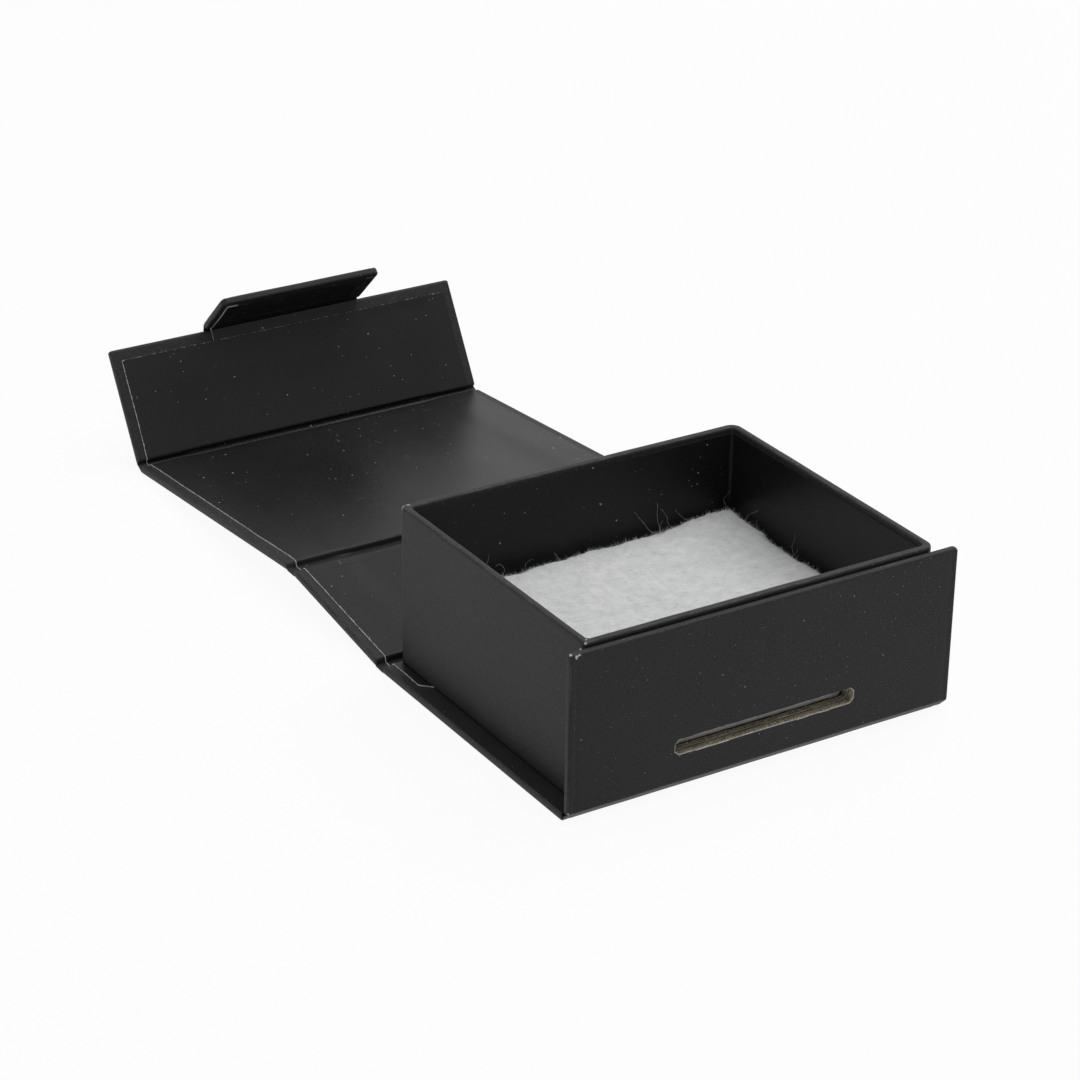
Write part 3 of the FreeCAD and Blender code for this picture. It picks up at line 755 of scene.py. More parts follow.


# The cover's outer paper: a skin round each panel, and one over each hinge.
def makeCoverPaper():
    s, c, t = sheetSet, slotSet, tabSet
    half, seam = s["halfWidth"], s["seam"]
    top = panelTop()
    turned = s["freeRound"] + s["paper"]
    openHalf = half - s["turnIn"]
    flats = widthSamples(half, (openHalf,), s["acrossStep"])
    never = 1e9
    whole = windowOf(-never, never, openHalf)

    # the front panel, its foot and the base are one sheet
    frontZ = coverSet["front"][0][1]
    slotXs = np.concatenate([np.arange(c["halfWidth"] - c["endIn"], c["halfWidth"] + c["endOut"], c["fine"]),
                             np.arange(c["first"], c["halfWidth"] - c["endIn"], c["coarse"])])
    frontFlats = thinned(np.concatenate([flats, slotXs, -slotXs]), s["apart"])
    rim = freeEnd(-s["paper"], -1, top, turned, turned, s["cornerRound"])
    fold = foldStations("front", s["footSeam"], s["footSeam"], creaseRound=s["freeRound"])
    slotS = frontZ - c["middle"]
    stations = joined(rim, evenStations(rim["s"][-1], slotS - c["around"], top, s["frontStep"]),
                      evenStations(slotS - c["around"], slotS + c["around"], top, c["fine"]),
                      evenStations(slotS + c["around"], fold["s"][0], top, s["frontStep"]), fold,
                      evenStations(fold["s"][-1], coverEnd("base") - seam, top, s["baseStep"]))
    makeWrap("frontAndBasePaper", "tray_and_base", stations, half, frontFlats,
             windowOf(s["turnIn"], never, openHalf), 11, ("front_wrap", "base_wrap"),
             hole=lambda x, along: slotOutline(x, frontZ - along), spots=frontSpots)
    for number, name in enumerate(("spine", "lid")):
        stations = evenStations(coverStart[name] + seam, coverEnd(name) - seam, top, s["step"])
        makeWrap(name + "Paper", name + "_panel", stations, half, flats, whole, 14 + number, (name + "_wrap",))
    for number, (first, second) in enumerate(coverFolds):
        piece = makeWrap(second + "FoldPaper", None, foldStations(first), half, flats, whole, 17 + number)
        bendAt(piece, first, second)

    tabHalf, tabOpen = t["halfWidth"], t["halfWidth"] - t["turnIn"]
    end = coverEnd("flap")
    doorHalf, underHalf = tabHalf - t["doorIn"], tabHalf - t["linerMargin"] - t["underIn"]
    flapEnd = freeEnd(end + s["paper"], 1, top, s["creaseRound"] + s["paper"], turned, s["cornerRound"])
    stations = joined(evenStations(coverStart["flap"] + seam, flapEnd["s"][0], top, s["step"]), flapEnd)
    flapFlats = thinned(np.concatenate([flats, [doorHalf, -doorHalf, underHalf, -underHalf]]), s["apart"])

    # open under the liners and, at the end, where the tab's fold goes on
    def flapOpen(faceX, faceS, onTop):
        window = onTop & (np.abs(faceX) < openHalf) & (faceS < end - s["turnIn"])
        under = onTop & (np.abs(faceX) < underHalf) & (faceS > end - s["turnIn"])
        return window | under | ((np.abs(faceX) < doorHalf) & (faceS > end - t["doorDeep"]))
    makeWrap("flapPaper", "closing_flap", stations, half, flapFlats, flapOpen, 21, ("flap_wrap",),
             spots=flapSpots)

    fold = foldStations("flap", t["foldSeam"])
    fold["low"] = fold["low"] - t["foldGrow"]
    fold["high"] = fold["high"] + t["foldGrow"]
    foldHalf = tabHalf - t["foldInset"]
    piece = makeWrap("tabFoldPaper", None, fold, foldHalf, widthSamples(foldHalf, (tabOpen,), t["acrossStep"]),
                     windowOf(-never, never, tabOpen), 22)
    bendAt(piece, "flap", "tab")
    tip = coverEnd("tab")
    tabEnd = freeEnd(tip + s["paper"], 1, top, turned, turned, t["cornerRound"])
    stations = joined(evenStations(coverStart["tab"] + seam, tabEnd["s"][0], top, t["step"]), tabEnd)
    makeWrap("tabPaper", "tuck_tab", stations, tabHalf, widthSamples(tabHalf, (tabOpen,), t["acrossStep"]),
             windowOf(-never, tip - t["turnIn"], tabOpen), 23, ("tab_wrap",))
    stage("cover paper is made")


makeCamera()
makeCoverPaper()


linerSet = {
    "margin": 2.1, "endMargin": 2.4, "tail": 16.0, "tailCorner": 5.8, "lap": 3.0, "tabLap": 0.3, "footLap": 0.5,
    "step": 0.4, "flapStep": 0.5, "rimShare": 0.94, "rimPoints": 6, "midShare": 0.92, "midPoints": 78,
    "wavyEdge": 0.09, "wavyLength": 11.0, "wavyFrom": 0.9, "waveFade": 0.06,
    "leftShare": 0.8, "bareLeft": 0.95, "bareRight": 0.45, "tipBare": 0.6, "chipLeft": 0.8, "chipEnd": 0.68,
    "sag": 0.3, "sunk": 0.08, "liftedDeep": 2.2, "liftedFrom": (19.5, 22.0), "liftedTo": (34.0, 40.0),
    "lifted": 0.34, "liftedSpread": 0.22, "liftedLength": 6.0,
}


# The inner liner over one stretch: shape gives its left and right edge, and it lies a paper higher
# over the turned-in edges. ends is how bare the paper's core is at the first and the last row.
def linerSheet(name, body, stations, shape, seed, node=None, lifted=None, ends=(0.0, 0.0)):
    t = linerSet
    rim = np.linspace(t["rimShare"], 1, t["rimPoints"])
    across = np.concatenate([-rim[::-1], np.linspace(-t["midShare"], t["midShare"], t["midPoints"]), rim])
    along = np.broadcast_to(stations["s"][:, None], (len(stations["s"]), len(across)))
    left, right = shape(stations["s"])
    x = (left + right)[:, None] / 2 + across * (right - left)[:, None] / 2
    wavy = t["wavyEdge"] * ripple(along, x * 0.0, x * 0.0, seed, t["wavyLength"])
    x = x + wavy * softStep(np.abs(across), t["wavyFrom"], 1.0) * np.sign(across)
    over = stations["over"](x, along)
    n = stations["lowTop"][:, None] * (1.0 - over) + stations["highTop"][:, None] * over
    n = n + liftOf(x, along, seed + 1) * softStep(1.0 - np.abs(across), 0.0, t["waveFade"])
    if lifted:
        n = n + lifted(x, along)
    y, z = coverPlace(along, n)
    if "straight" in stations:
        y, z = acrossGap(stations["q"], y, z)
    points = np.stack([x, y, z], -1).reshape(-1, 3)
    bare = np.where(x < -tabSet["halfWidth"] * t["leftShare"], t["bareLeft"], t["bareRight"])
    for row, share in ((0, ends[0]), (-1, ends[1])):
        bare[row, 1:-1] *= share
    chip = np.where((across == -1.0)[None, :], t["chipLeft"], 0.0) * np.ones_like(x)
    if ends[1] == 1.0:
        chip[-1] = t["chipEnd"]
    marks = {"wearAndHighlight": np.zeros(len(points)), "chip": chip.ravel(), "bare": bare.ravel()}
    return makeSkin(name, points, gridQuads(*x.shape, False), "liner", marks, (node,) if node else (), body,
                    weld=False)


# The liner spans the tab's gap in one strip that sags a little: each point in the gap goes on the line
# between the inner corners of the two boards, then down by a sine of its share of the way.
def acrossGap(q, y, z):
    half = coverSet["flap"][3] / 2
    first, last = np.searchsorted(q, (-half, half))
    inGap = slice(first, last)
    share = ((q[inGap] - q[first - 1]) / (q[last] - q[first - 1]))[:, None]
    across = np.array([z[last, 0] - z[first - 1, 0], y[first - 1, 0] - y[last, 0]])
    across *= linerSet["sag"] / np.linalg.norm(across)
    made = []
    for values, down in zip((y, z), across):
        values = values.copy()
        values[inGap] = values[first - 1] * (1.0 - share) + values[last] * share
        values[inGap] += down * np.sin(math.pi * share)
        made.append(values)
    return made


# A liner lies on the panel's top where overTest gives 0, and a paper higher where it gives 1.
def linerStations(start, end, step, overTest):
    made = evenStations(start, end, panelTop(), step)
    return {"s": made["s"], "lowTop": made["high"], "highTop": made["high"] + sheetSet["paper"],
            "over": overTest}


# The same over a hinge: its two heights are those over one and over two layers of paper.
def foldLiner(first, overTest, before=sheetSet["seam"], after=sheetSet["seam"]):
    made = foldStations(first, before, after)
    made["lowTop"] = made["high"]
    made["highTop"] = foldStations(first, before, after, 2)["high"]
    made["over"] = overTest
    return made


# 1 over the turned-in side edges, with a soft step at where they end.
def sidesOver(x, openHalf, lap):
    return softStep(np.abs(x), openHalf - lap, openHalf + lap)


# The same on a panel whose turned-in edges are at the sides only.
def plainOver(x, along=None):
    return sidesOver(x, sheetSet["halfWidth"] - sheetSet["turnIn"], linerSet["lap"])


# A strip's left and right edge, the same all along.
def straightShape(half):
    return lambda along: (np.full(len(along), -half), np.full(len(along), half))


# The inner liner, panel by panel and over each hinge, from its tail under the tray to the tab.
def makeLiners():
    s, t = sheetSet, linerSet
    seam, half = s["seam"], s["halfWidth"] - t["margin"]
    straight = straightShape(half)
    tailStart = coverEnd("base") - t["tail"]

    def tailShape(along):
        cut = np.maximum(tailStart + t["tailCorner"] - along, 0.0)
        return -(half - cut), half - cut
    run = linerStations(tailStart, coverEnd("base") - seam, t["step"], plainOver)
    linerSheet("baseLiner", "tray_and_base", run, tailShape, 31, "base_liner", ends=(1.0, 0.0))
    for number, name in enumerate(("spine", "lid")):
        run = linerStations(coverStart[name] + seam, coverEnd(name) - seam, s["step"], plainOver)
        linerSheet(name + "Liner", name + "_panel", run, straight, 33 + 2 * number, name + "_liner")
    for number, (first, second) in enumerate(coverFolds):
        piece = linerSheet(second + "FoldLiner", None, foldLiner(first, plainOver), straight,
                           37 + 2 * number)
        bendAt(piece, first, second)

    flapEnd = coverEnd("flap")
    stop = flapEnd - t["endMargin"]

    def flapOver(x, along):
        edge = flapEnd - s["turnIn"]
        return np.maximum(plainOver(x), softStep(along, edge - t["lap"], edge + t["lap"]))

    # the bit of its free edge that has come off
    def flapLifted(x, along):
        near = softStep(along, stop - t["liftedDeep"], stop) * softStep(x, *t["liftedFrom"])
        near = near * (1.0 - softStep(x, *t["liftedTo"]))
        return near * (t["lifted"] + t["liftedSpread"] * ripple(x, x * 0, x * 0, 71, t["liftedLength"]))
    run = linerStations(coverStart["flap"] + seam, stop, t["flapStep"], flapOver)
    linerSheet("flapLiner", "closing_flap", run, straight, 45, "flap_liner", flapLifted, (0.0, 1.0))

    tabShape = straightShape(tabSet["halfWidth"] - tabSet["linerMargin"])

    def tabOver(x, along):
        tip = coverEnd("tab") - tabSet["turnIn"]
        sides = sidesOver(x, tabSet["halfWidth"] - tabSet["turnIn"], t["tabLap"])
        return np.maximum(np.maximum(sides, softStep(along, tip - t["tabLap"], tip + t["tabLap"])),
                          1.0 - softStep(along, flapEnd - t["footLap"], flapEnd + t["footLap"]))
    fold = foldLiner("flap", tabOver, t["endMargin"])
    fold["lowTop"] = fold["highTop"] = np.full(len(fold["q"]), panelTop() + s["paper"] - t["sunk"])
    fold["straight"] = True
    bendAt(linerSheet("tabFoldLiner", None, fold, tabShape, 47), "flap", "tab")
    run = linerStations(coverStart["tab"] + seam, coverEnd("tab") - tabSet["linerMargin"], t["step"], tabOver)
    linerSheet("tabLiner", "tuck_tab", run, tabShape, 49, "tab_liner", ends=(0.0, t["tipBare"]))
    stage("liners are made")


makeLiners()


# A ripples row is height, share of z, seed and length.
traySet = {
    "halfWidth": 38.55, "halfLength": 32.45, "middleY": -0.1, "bottom": 1.8, "top": 34.8,
    "corners": (1.2, 2.25, 2.3, 1.2), "wall": 1.4, "rimRound": 0.5, "turnIn": 10.0, "turnUnder": 9.0,
    "liningTop": 33.6, "floor": 3.2, "innerCorner": 0.8, "paperCorner": 0.9, "foot": 0.35, "floorBend": 0.5,
    "rise": 1.0, "underStep": 1.5, "rimStep": 0.3, "floorStep": 1.6, "acrossStep": 1.2, "apart": 0.08,
    "wallWave": ((0.03, 1, 51, 21.0),), "rimWave": ((0.03, 0, 52, 15.0),), "rimReach": 3.0,
    # the rim's lighter edge, wear and a painted highlight: its reach, strength, level and waves
    "wearAndHighlightReach": (0.5, 0.05), "rimWearAndHighlight": (0.55, 0.45), "wearAndHighlightLevel": 0.7, "wearAndHighlightWave": ((0.4, 0, 53, 7.0),),
    "bare": 0.85, "floorWave": ((0.06, 1, 55, 24.0),), "floorDrop": 0.03, "floorFade": 6.0,
    "outerHole": (43, 0.02, 1.0), "innerHole": (44, 0.03, 0.3), "seamRest": 0.002,
}
trayChips = [((-38.2, 32.0, 34.5), 0.85), ((-36.9, 31.9, 34.7), 0.8), ((-38.2, -32.2, 34.6), 0.5),
             ((-37.0, -30.9, 34.4), 0.55), ((-37.6, -31.5, 34.8), 0.35), ((-38.5, -31.4, 33.2), 0.35)]


# Points round a rounded rectangle, one ring for each (inset, height) of the profile. Each ring's
# sides are drawn in by the inset and its corner radii shrink by it.
def ringPoints(profile, halfX, halfY, middleY, corners, leastRound, perSide, perCorner=9):
    d = profile[:, 0][:, None]
    arcs = []
    for (sx, sy, start), radius in zip(((-1, -1, 180), (1, -1, 270), (1, 1, 0), (-1, 1, 90)), corners):
        rho = np.maximum(radius - d, leastRound)
        rho = np.minimum(rho, np.minimum(halfX - d, halfY - d))
        angle = np.radians(start + np.linspace(0, 90, perCorner))
        arcs.append((sx * (halfX - d - rho) + rho * np.cos(angle),
                     middleY + sy * (halfY - d - rho) + rho * np.sin(angle)))
    parts = ([], [])
    for k in range(4):
        share = perSide[k % 2] if k < 2 else 1.0 - perSide[k % 2][::-1]
        for part, mine, following in zip(parts, arcs[k], arcs[(k + 1) % 4]):
            part += [mine, mine[:, -1:] * (1 - share) + following[:, :1] * share]
    x, y = (np.concatenate(part, 1) for part in parts)
    return x, y, np.broadcast_to(profile[:, 1][:, None], x.shape)


# Profile points on an arc between two angles.
def arcProfile(centre, radius, start, end, count=7):
    angle = np.radians(np.linspace(start, end, count))
    return np.stack([centre[0] + radius * np.cos(angle), centre[1] + radius * np.sin(angle)], -1)


# Profile points on a straight line, at most a step apart.
def lineProfile(first, last, step):
    count = max(2, int(np.ceil(np.hypot(last[0] - first[0], last[1] - first[1]) / step)) + 1)
    return np.linspace(first, last, count)


# An upright stretch of profile at one inset.
def wallProfile(inset, heights):
    return np.stack([heights * 0.0 + inset, heights], -1)


# Runs of profile joined, without a repeated point at the joins.
def joinProfile(*runs):
    made = np.concatenate(runs)
    keep = np.concatenate([[True], np.hypot(*np.diff(made, axis=0).T) > meshSet["samePoint"]])
    return made[keep]


# Shares along one side of the tray or the pad: even ones, and close ones about the slot's ends.
def sideShares(length, marks, step):
    reach = slotSet["sideReach"]
    x = [np.arange(-length + step, length, step)]
    for mark in marks:
        x += [np.arange(end - reach, end + reach, slotSet["fine"]) for end in (-mark, mark)]
    return (thinned(np.concatenate(x), traySet["apart"]) + length) / (2 * length)


# Opens the slot in the faces of the tray's front wall, up to a depth behind its outer side.
def slotThrough(points, quads, seed, grow, deep):
    centre = points[quads].mean(1)
    front = centre[:, 1] < traySet["middleY"] - traySet["halfLength"] + deep

    def outline(u, v):
        return slotOutline(u, v, grow, seed)
    quads, border = cutOut(quads, np.where(front, outline(centre[:, 0], centre[:, 2]), 1.0))
    points[border, 0], points[border, 2] = snapped(outline, points[border, 0], points[border, 2])
    return quads


# Heights up a wall, closer together past the slot.
def fineHeights(low, high):
    c = slotSet
    around = np.arange(c["middle"] - c["around"], c["middle"] + c["around"], c["fine"])
    rows = np.concatenate([np.arange(low, high, traySet["rise"]), around, [high]])
    return thinned(rows[(rows >= low) & (rows <= high)], traySet["apart"])


# Both skins are a profile of (inset, height) carried round the tray and moved by slow waves: the paper
# from under the floor up the wall and in over the rim, the lining down the wall and in over the floor.
def makeTray():
    t, s = traySet, sheetSet
    lip = t["wall"] + s["paper"]
    rim, top, low, foot = t["rimRound"], t["top"], t["bottom"], t["foot"]
    shares = [sideShares(t["halfWidth"], (slotSet["halfWidth"],), t["acrossStep"]),
              sideShares(t["halfLength"], (), t["acrossStep"])]
    profile = joinProfile(
        lineProfile((t["turnUnder"], low), (foot, low), t["underStep"]),
        arcProfile((foot, low + foot), foot, 270, 180),
        wallProfile(0.0, fineHeights(low + foot, top - rim)),
        arcProfile((rim, top - rim), rim, 180, 90),
        lineProfile((rim, top), (lip - rim, top), t["rimStep"]),
        arcProfile((lip - rim, top - rim), rim, 90, 0),
        wallProfile(lip, np.arange(top - rim, top - t["turnIn"], -t["rise"])))
    x, y, z = ringPoints(profile, t["halfWidth"], t["halfLength"], t["middleY"], t["corners"],
                         t["paperCorner"], shares)
    points = np.stack([x, y, z], -1)
    scale = 1.0 - ripples(x, y, z, t["wallWave"])[..., None] / t["halfWidth"] * np.array([1.0, 1.0, 0.0])
    points = points * scale
    points[..., 2] += ripples(x, y, z, t["rimWave"]) * softStep(z, top - t["rimReach"], top)
    flat = points.reshape(-1, 3)
    quads = slotThrough(flat, gridQuads(*x.shape, True), *t["outerHole"])
    # the rim's rounded edges get a lighter tone: wear and a painted highlight
    inset, height = profile.T
    onRound = np.abs(inset - lip / 2) > lip / 2 - rim
    edge = softStep(height, *(top - v for v in t["wearAndHighlightReach"])) * (t["rimWearAndHighlight"][0] + t["rimWearAndHighlight"][1] * onRound)
    wearAndHighlight = edge[:, None] * (t["wearAndHighlightLevel"] + ripples(x, y, z, t["wearAndHighlightWave"]))
    marks = {"wearAndHighlight": wearAndHighlight.ravel(), "chip": chipsNear(flat, trayChips), "bare": np.full(len(flat), t["bare"])}
    makeSkin("trayPaper", flat, quads, "cover", marks, ("tray_wrap",), "tray_and_base")

    lined = lip + s["paper"]
    bend = t["floorBend"]
    floorTop = t["floor"] + s["paper"]
    deep = t["halfLength"] - t["seamRest"]
    profile = joinProfile(
        wallProfile(lined, fineHeights(floorTop + bend, t["liningTop"])[::-1]),
        arcProfile((lined + bend, floorTop + bend), bend, 180, 270),
        lineProfile((lined + bend, floorTop), (deep, floorTop), t["floorStep"]))
    x, y, z = ringPoints(profile, t["halfWidth"], t["halfLength"], t["middleY"], (0, 0, 0, 0),
                         t["innerCorner"], shares)
    points = np.stack([x, y, z], -1)
    inset, height = (v[:, None] for v in profile.T)
    wave = (ripples(x, y, z, t["floorWave"]) - t["floorDrop"]) * softStep(inset, deep, deep - t["floorFade"])
    points[..., 2] += wave * (height <= floorTop + 0.01)
    flat = points.reshape(-1, 3)
    seed, grow, deeper = t["innerHole"]
    quads = slotThrough(flat, gridQuads(*x.shape, True), seed, grow, lined + deeper)
    marks = {"wearAndHighlight": np.zeros(len(flat)), "chip": np.zeros(len(flat))}
    makeSkin("trayLining", flat, quads, "liner", marks, ("tray_lining",), "tray_and_base")
    stage("tray paper and lining are made")


makeTray()


# Fades and reaches are the two ends of a soft step; ragged and uneven are ripples rows.
padSet = {
    "halfX": 36.4, "halfY": 30.3, "middleY": -0.1, "middleZ": 10.0, "bottom": 3.7, "top": 17.4,
    "corner": 2.5, "leastRound": 0.05, "perCorner": 11, "topRound": 2.2, "bottomRound": 0.6,
    "levels": (12.6, 13.9), "step": 0.5, "topStep": 0.55, "underStep": 2.5, "seamRest": 0.00004,
    "sideFade": (1.0, 5.0), "upperFade": (12.0, 16.5), "topFade": (14.5, 17.4),
    "ragged": ((0.35, 0.6, 61, 6.5), (0.2, 1, 62, 2.1)), "drawnIn": 0.45,
    "uneven": ((0.22, 0, 63, 19.0), (0.1, 0, 64, 4.2), (0.045, 0, 65, 1.3)), "settled": 0.25,
    "slantY": (12.0, 28.0), "slantX": (-30.0, 34.0), "slant": (0.2, 1.5),
    "curlX": (14.0, 36.0), "curlY": (8.0, 29.0), "curl": (0.35, 0.5, 1.1),
    "pocketHalf": 19.8, "pocketDeep": 8.15, "pocketMiddle": 10.1, "pocketHalfHeight": 1.3,
    "pocketLips": (-0.5, -0.12, 0.0, 0.1, 0.5), "pocketSide": (-0.1, 0.35), "pocketRim": (-0.02, 0.08),
    "frontReach": 0.9, "faceReach": 0.01, "soilY": (18.0, 21.0), "soilHalf": (21.5, 1.9),
    "soilSoft": (1.0, 0.5),
}


# The pad is a profile carried round a rounded rectangle, then moved by ripples inside soft steps.
def makePad():
    p = padSet
    r, b = p["topRound"], p["bottomRound"]
    m, hh, lips = p["pocketMiddle"], p["pocketHalfHeight"], np.array(p["pocketLips"])
    levels = np.concatenate([[p["bottom"] + b], m - hh + lips, [m], m + hh - lips[::-1], p["levels"],
                             [p["top"] - r]])
    deep = p["halfY"] - p["seamRest"]
    profile = joinProfile(
        lineProfile((deep, p["bottom"]), (b, p["bottom"]), p["underStep"]),
        arcProfile((b, p["bottom"] + b), b, 270, 180, 5),
        wallProfile(0.0, levels),
        arcProfile((r, p["top"] - r), r, 180, 90, 12),
        lineProfile((r, p["top"]), (deep, p["top"]), p["topStep"]))
    shares = (sideShares(p["halfX"], (p["pocketHalf"],), p["step"]), sideShares(p["halfY"], (), p["step"]))
    x, y, z = ringPoints(profile, p["halfX"], p["halfY"], p["middleY"], (p["corner"],) * 4, p["leastRound"],
                         shares, p["perCorner"])

    # the sides are ragged towards the top and slant in at the back
    side = 1.0 - softStep(profile[:, 0], *p["sideFade"])[:, None]
    upper = softStep(z, *p["upperFade"])
    ragged = ripples(x, y, z, p["ragged"]) * side * upper + p["drawnIn"] * side * upper
    x, y = (x * (1.0 - ragged / p["halfX"]),
            (y - p["middleY"]) * (1.0 - ragged / p["halfY"]) + p["middleY"])
    slant = softStep(y, *p["slantY"]) * (p["slant"][0] + p["slant"][1] * softStep(-x, *p["slantX"]))
    y = y - slant * upper

    # the top is uneven and its back right corner curls up
    z = z + softStep(z, *p["topFade"]) * (ripples(x, y, z, p["uneven"]) - p["settled"])
    curl = softStep(x, *p["curlX"]) * softStep(y, *p["curlY"]) * upper
    x, y, z = (v + far * curl for v, far in zip((x, y, z), p["curl"]))

    # board dust lies round the hollow in the front side
    soil = softStep(-y, *p["soilY"]) * softStep(p["soilHalf"][1] - np.abs(z - m), 0.0, p["soilSoft"][1])
    soil = soil * softStep(p["soilHalf"][0] - np.abs(x), 0.0, p["soilSoft"][0])
    pocket = softStep(p["pocketHalf"] - np.abs(x), *p["pocketSide"])
    pocket = pocket * softStep(hh - np.abs(z - m), *p["pocketRim"])
    onFront = (y < -p["halfY"] + p["middleY"] + p["frontReach"]) & (profile[:, :1] < p["faceReach"])
    y = y + np.where(onFront, pocket * p["pocketDeep"], 0.0)
    grid = np.stack([x, y, z], -1)
    pad = makePiece("waddingPad", grid.reshape(-1, 3), gridQuads(*x.shape, True), finishes["wadding"],
                    marks={"soil": soil.ravel()}, weld=True)
    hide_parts("wadding_pad")
    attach(pad, "loose_pad")
    stage("wadding pad is made")
    return grid, profile


padGrid, padProfile = makePad()


# Fuzz and strays root in the pad's upper edge, spread about it; the lint lies on the liner. Each
# direction is so much of the surface's way out and so much chance.
fibreSet = {
    "padFuzz": {"count": 7800, "radius": 0.019, "long": (0.45, 1.35), "out": 0.55, "chance": 0.62,
                "curl": 0.6, "seed": 82, "parts": 5},
    "padStrays": {"count": 52, "radius": 0.024, "long": (2.0, 8.5), "out": 0.4, "chance": 0.6,
                  "curl": 0.38, "seed": 83, "parts": 26, "rise": 0.15},
    "rootLow": 15.3, "rootShare": 0.9, "spread": 0.28, "spreadWay": (1, 1, 0.2), "rooted": 0.12,
    "kept": ((-36.62, 36.62), (-30.65, 30.45)), "thinning": 0.6, "sideHint": (0.31, 0.52, 0.79),
}
lintSet = {
    "counts": {"lid": 26, "spine": 6, "flap": 6}, "halfX": 38, "rest": 4, "long": (0.5, 3.5), "curl": 0.3,
    "seed": 84, "parts": 12, "keptX": 40, "above": 0.05, "radius": 0.018,
}


# Thin bent fibres: each walks on from its root in equal steps, its direction turned a little by chance
# at every step.
def walkFibres(roots, ways, lengths, curl, seed, parts):
    chance = np.random.default_rng(seed)
    turns = np.cumsum(chance.normal(size=(len(roots), parts - 1, 3)), axis=1) * curl
    heading = ways[:, None, :] + turns
    heading /= np.linalg.norm(heading, axis=2, keepdims=True)
    steps = heading * lengths[:, None, None] / (parts - 1)
    return np.concatenate([roots[:, None, :], roots[:, None, :] + np.cumsum(steps, axis=1)], axis=1)


# A three-sided tube round each fibre, thinner towards its tip and closed to a point at both ends.
def fibreTubes(name, body, line, radius, material):
    count, parts = line.shape[:2]
    along = np.gradient(line, axis=1)
    along /= np.linalg.norm(along, axis=2, keepdims=True)
    side = np.cross(along, np.array(fibreSet["sideHint"]))
    side /= np.linalg.norm(side, axis=2, keepdims=True)
    other = np.cross(along, side)
    angle = np.radians([0, 120, 240])[None, None, :, None]
    share = np.linspace(0, 1, parts)
    thin = radius * np.where((share > 0) & (share < 1), 1.0 - fibreSet["thinning"] * share, 0.0)
    rings = line[:, :, None, :] + thin[None, :, None, None] * (
        side[:, :, None, :] * np.cos(angle) + other[:, :, None, :] * np.sin(angle))
    one = gridQuads(parts, 3, True)
    quads = (one[None] + (np.arange(count) * parts * 3)[:, None, None]).reshape(-1, 4)
    piece = makePiece(name, rings.reshape(-1, 3), quads, material, weld=True)
    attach(piece, body)


# Roots on the pad's rounded upper edge, each with the surface's own way out there.
def padEdge(chance, count):
    f = fibreSet
    alongRing = np.roll(padGrid, -1, 1) - np.roll(padGrid, 1, 1)
    out = np.cross(alongRing, np.gradient(padGrid, axis=0))
    out /= np.maximum(np.linalg.norm(out, axis=2, keepdims=True), 1e-9)
    edge = (padProfile[:, :1] < padSet["topRound"] * f["rootShare"]) & (padGrid[..., 2] > f["rootLow"])
    rows, columns = np.nonzero(edge)
    picked = chance.integers(0, len(rows), count)
    roots, out = padGrid[rows, columns][picked], out[rows, columns][picked]
    middle = np.array([0.0, padSet["middleY"], padSet["middleZ"]])
    out *= np.sign((out * (roots - middle)).sum(1))[:, None]
    spread = chance.uniform(-f["spread"], f["spread"], (count, 3)) * f["spreadWay"]
    return roots + spread - f["rooted"] * out, out


# Fibres at the pad's edge start a little under its surface; none leaves the tray's inside.
def makeFibres():
    chance = np.random.default_rng(81)
    for name in ("padFuzz", "padStrays"):
        f = fibreSet[name]
        roots, out = padEdge(chance, f["count"])
        ways = out * f["out"] + chance.normal(size=roots.shape) * f["chance"]
        if "rise" in f:
            ways[:, 2] = np.abs(ways[:, 2]) + f["rise"]
        line = walkFibres(roots, ways, chance.uniform(*f["long"], f["count"]), f["curl"], f["seed"], f["parts"])
        for axis, limits in enumerate(fibreSet["kept"]):
            line[..., axis] = np.clip(line[..., axis], *limits)
        fibreTubes(name, "loose_pad", line, f["radius"], finishes["wadding"])

    # lint lies flat on the liner: it walks over the panel in x and along the cover
    t = lintSet
    for number, (name, count) in enumerate(t["counts"].items()):
        start = np.stack([chance.uniform(-t["halfX"], t["halfX"], count),
                          chance.uniform(coverStart[name] + t["rest"], coverEnd(name) - t["rest"], count),
                          np.zeros(count)], -1)
        ways = chance.normal(size=(count, 3)) * (1, 1, 0)
        walk = walkFibres(start, ways, chance.uniform(*t["long"], count), t["curl"], t["seed"] + number,
                          t["parts"])
        x, along = np.clip(walk[..., 0], -t["keptX"], t["keptX"]), walk[..., 1]
        y, z = coverPlace(along, panelTop() + sheetSet["paper"] * plainOver(x) + t["above"])
        fibreTubes(name + "Lint", panelBody[name], np.stack([x, y, z], -1), t["radius"], finishes["lint"])
    stage("fibres are made")


makeFibres()


# The CAD nodes' finishes, by the last word of the node's name.
nodeFinish = {"board": "board", "glue": "glue", "stays": "tape", "liner": "liner", "lining": "liner",
              "pad": "wadding", "wrap": "cover"}
for name, node in nodes.items():
    node.data.materials.clear()
    node.data.materials.append(finishes[nodeFinish[name.split("_")[-1]]])


# Each soft light's place in metres, its size and its power.
lightSet = {
    "right": ((0.85, 0.25, 1.1), 0.7, 5.4),
    "top": ((0.2, -0.15, 1.25), 0.9, 5.2),
}
lightAim = (0.0, 0.05, 0.015)
worldSet = {"strength": 0.34, "tone": (1.0, 1.0, 1.0)}
floorSet = {"half": 3.0, "drop": 0.08, "tone": (0.84, 0.84, 0.84), "rough": 0.9, "kept": 0.94}


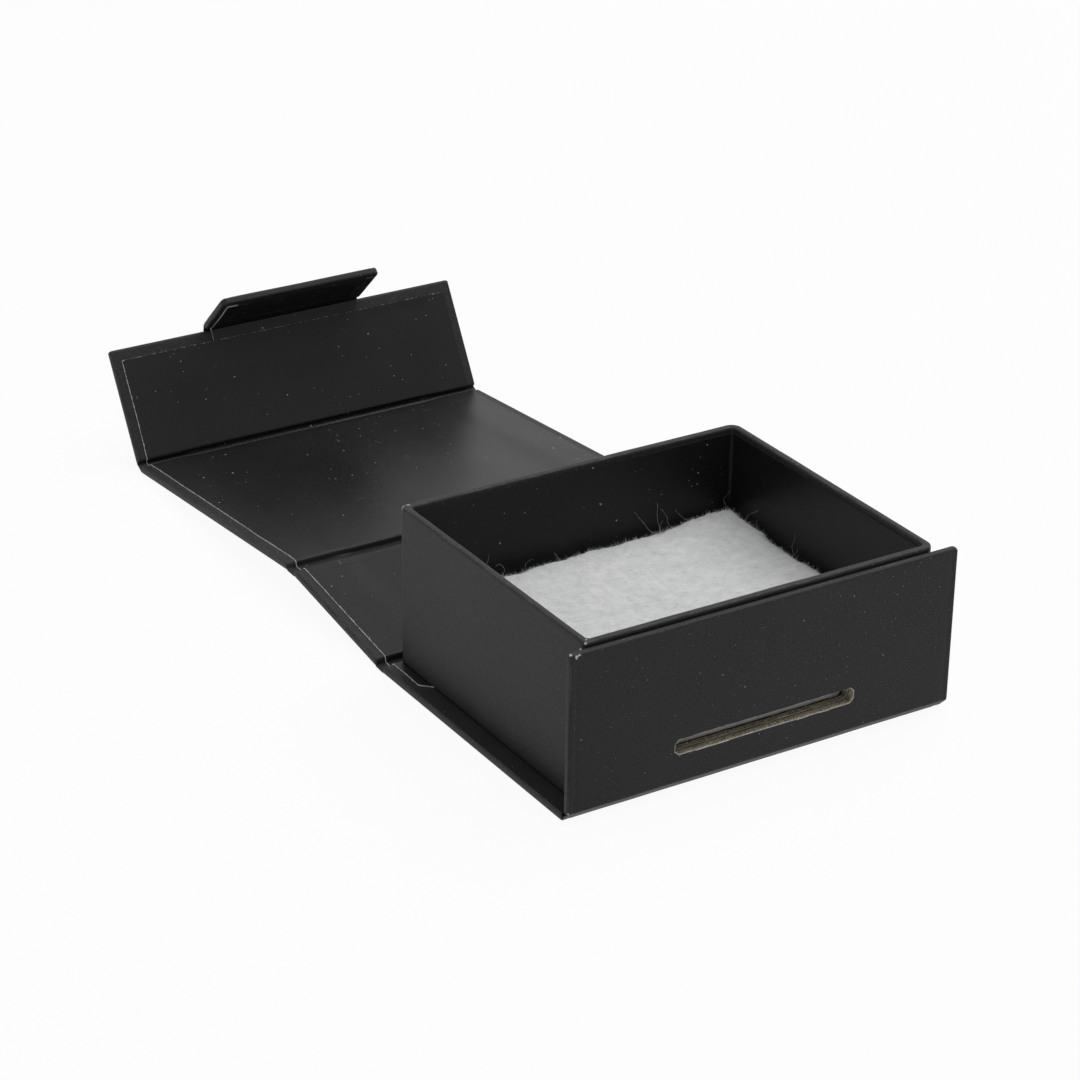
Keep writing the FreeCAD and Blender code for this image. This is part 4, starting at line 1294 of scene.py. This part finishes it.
# 1 for the rays that see the white backdrop: the camera's own, and those off gloss or through glass.
def backdropRays(tree):
    path = tree.nodes.new("ShaderNodeLightPath")
    camera, glossy, through = (Wire(tree, path.outputs[k])
                               for k in ("Is Camera Ray", "Is Glossy Ray", "Is Transmission Ray"))
    return (camera + glossy + through).held()


# Sends the output a mix of two shaders, by the share of the second.
def mixShaders(tree, share, first, second, output):
    mix = addNode(tree, "MixShader", values={0: share, 1: first, 2: second})
    tree.links.new(mix.socket, tree.nodes[output].inputs["Surface"])


# A matt floor for the light, which the camera sees nearly as bright as the backdrop.
def makeFloor():
    f = floorSet
    half, drop = f["half"] / toMetres, -f["drop"]
    points = np.array([(-half, -half, drop), (half, -half, drop), (half, half, drop), (-half, half, drop)])
    made = Finish("paleFloor", {"Base Color": (*f["tone"], 1.0), "Roughness": f["rough"]})
    matt = Wire(made.tree, made.shader.outputs[0])
    glow = made.node("Emission", values={"Strength": 1.0})
    mixShaders(made.tree, backdropRays(made.tree) * f["kept"], matt, glow, "Material Output")
    makePiece("paleFloor", points, np.array([[0, 1, 2, 3]]), made.material)


# Even light from all round, with a white backdrop.
def makeWorld():
    world = bpy.data.worlds.new("paleRoom")
    bpy.context.scene.world = world
    world.use_nodes = True
    tree = world.node_tree
    plain, white = (addNode(tree, "Background", values={"Color": (*tone, 1.0), "Strength": strength})
                    for tone, strength in ((worldSet["tone"], worldSet["strength"]), ((1.0, 1.0, 1.0), 1.0)))
    mixShaders(tree, backdropRays(tree), plain, white, "World Output")


# Square soft lights, each turned to the aim: its pitch is the angle between its way there and down.
def makeLights():
    for name, (place, size, power) in lightSet.items():
        data = bpy.data.lights.new(name + "Softbox", "AREA")
        data.shape = "SQUARE"
        data.size = size
        data.energy = power
        lamp = bpy.data.objects.new(name + "Softbox", data)
        bpy.context.scene.collection.objects.link(lamp)
        lamp.location = place
        way = np.array(lightAim) - np.array(place)
        pitch = math.acos(-way[2] / np.linalg.norm(way))
        lamp.rotation_euler = (pitch, 0.0, math.atan2(way[1], way[0]) - math.pi / 2)


makeFloor()
makeWorld()
makeLights()
bpy.context.scene.view_settings.view_transform = "Standard"
stage("floor and light are set")
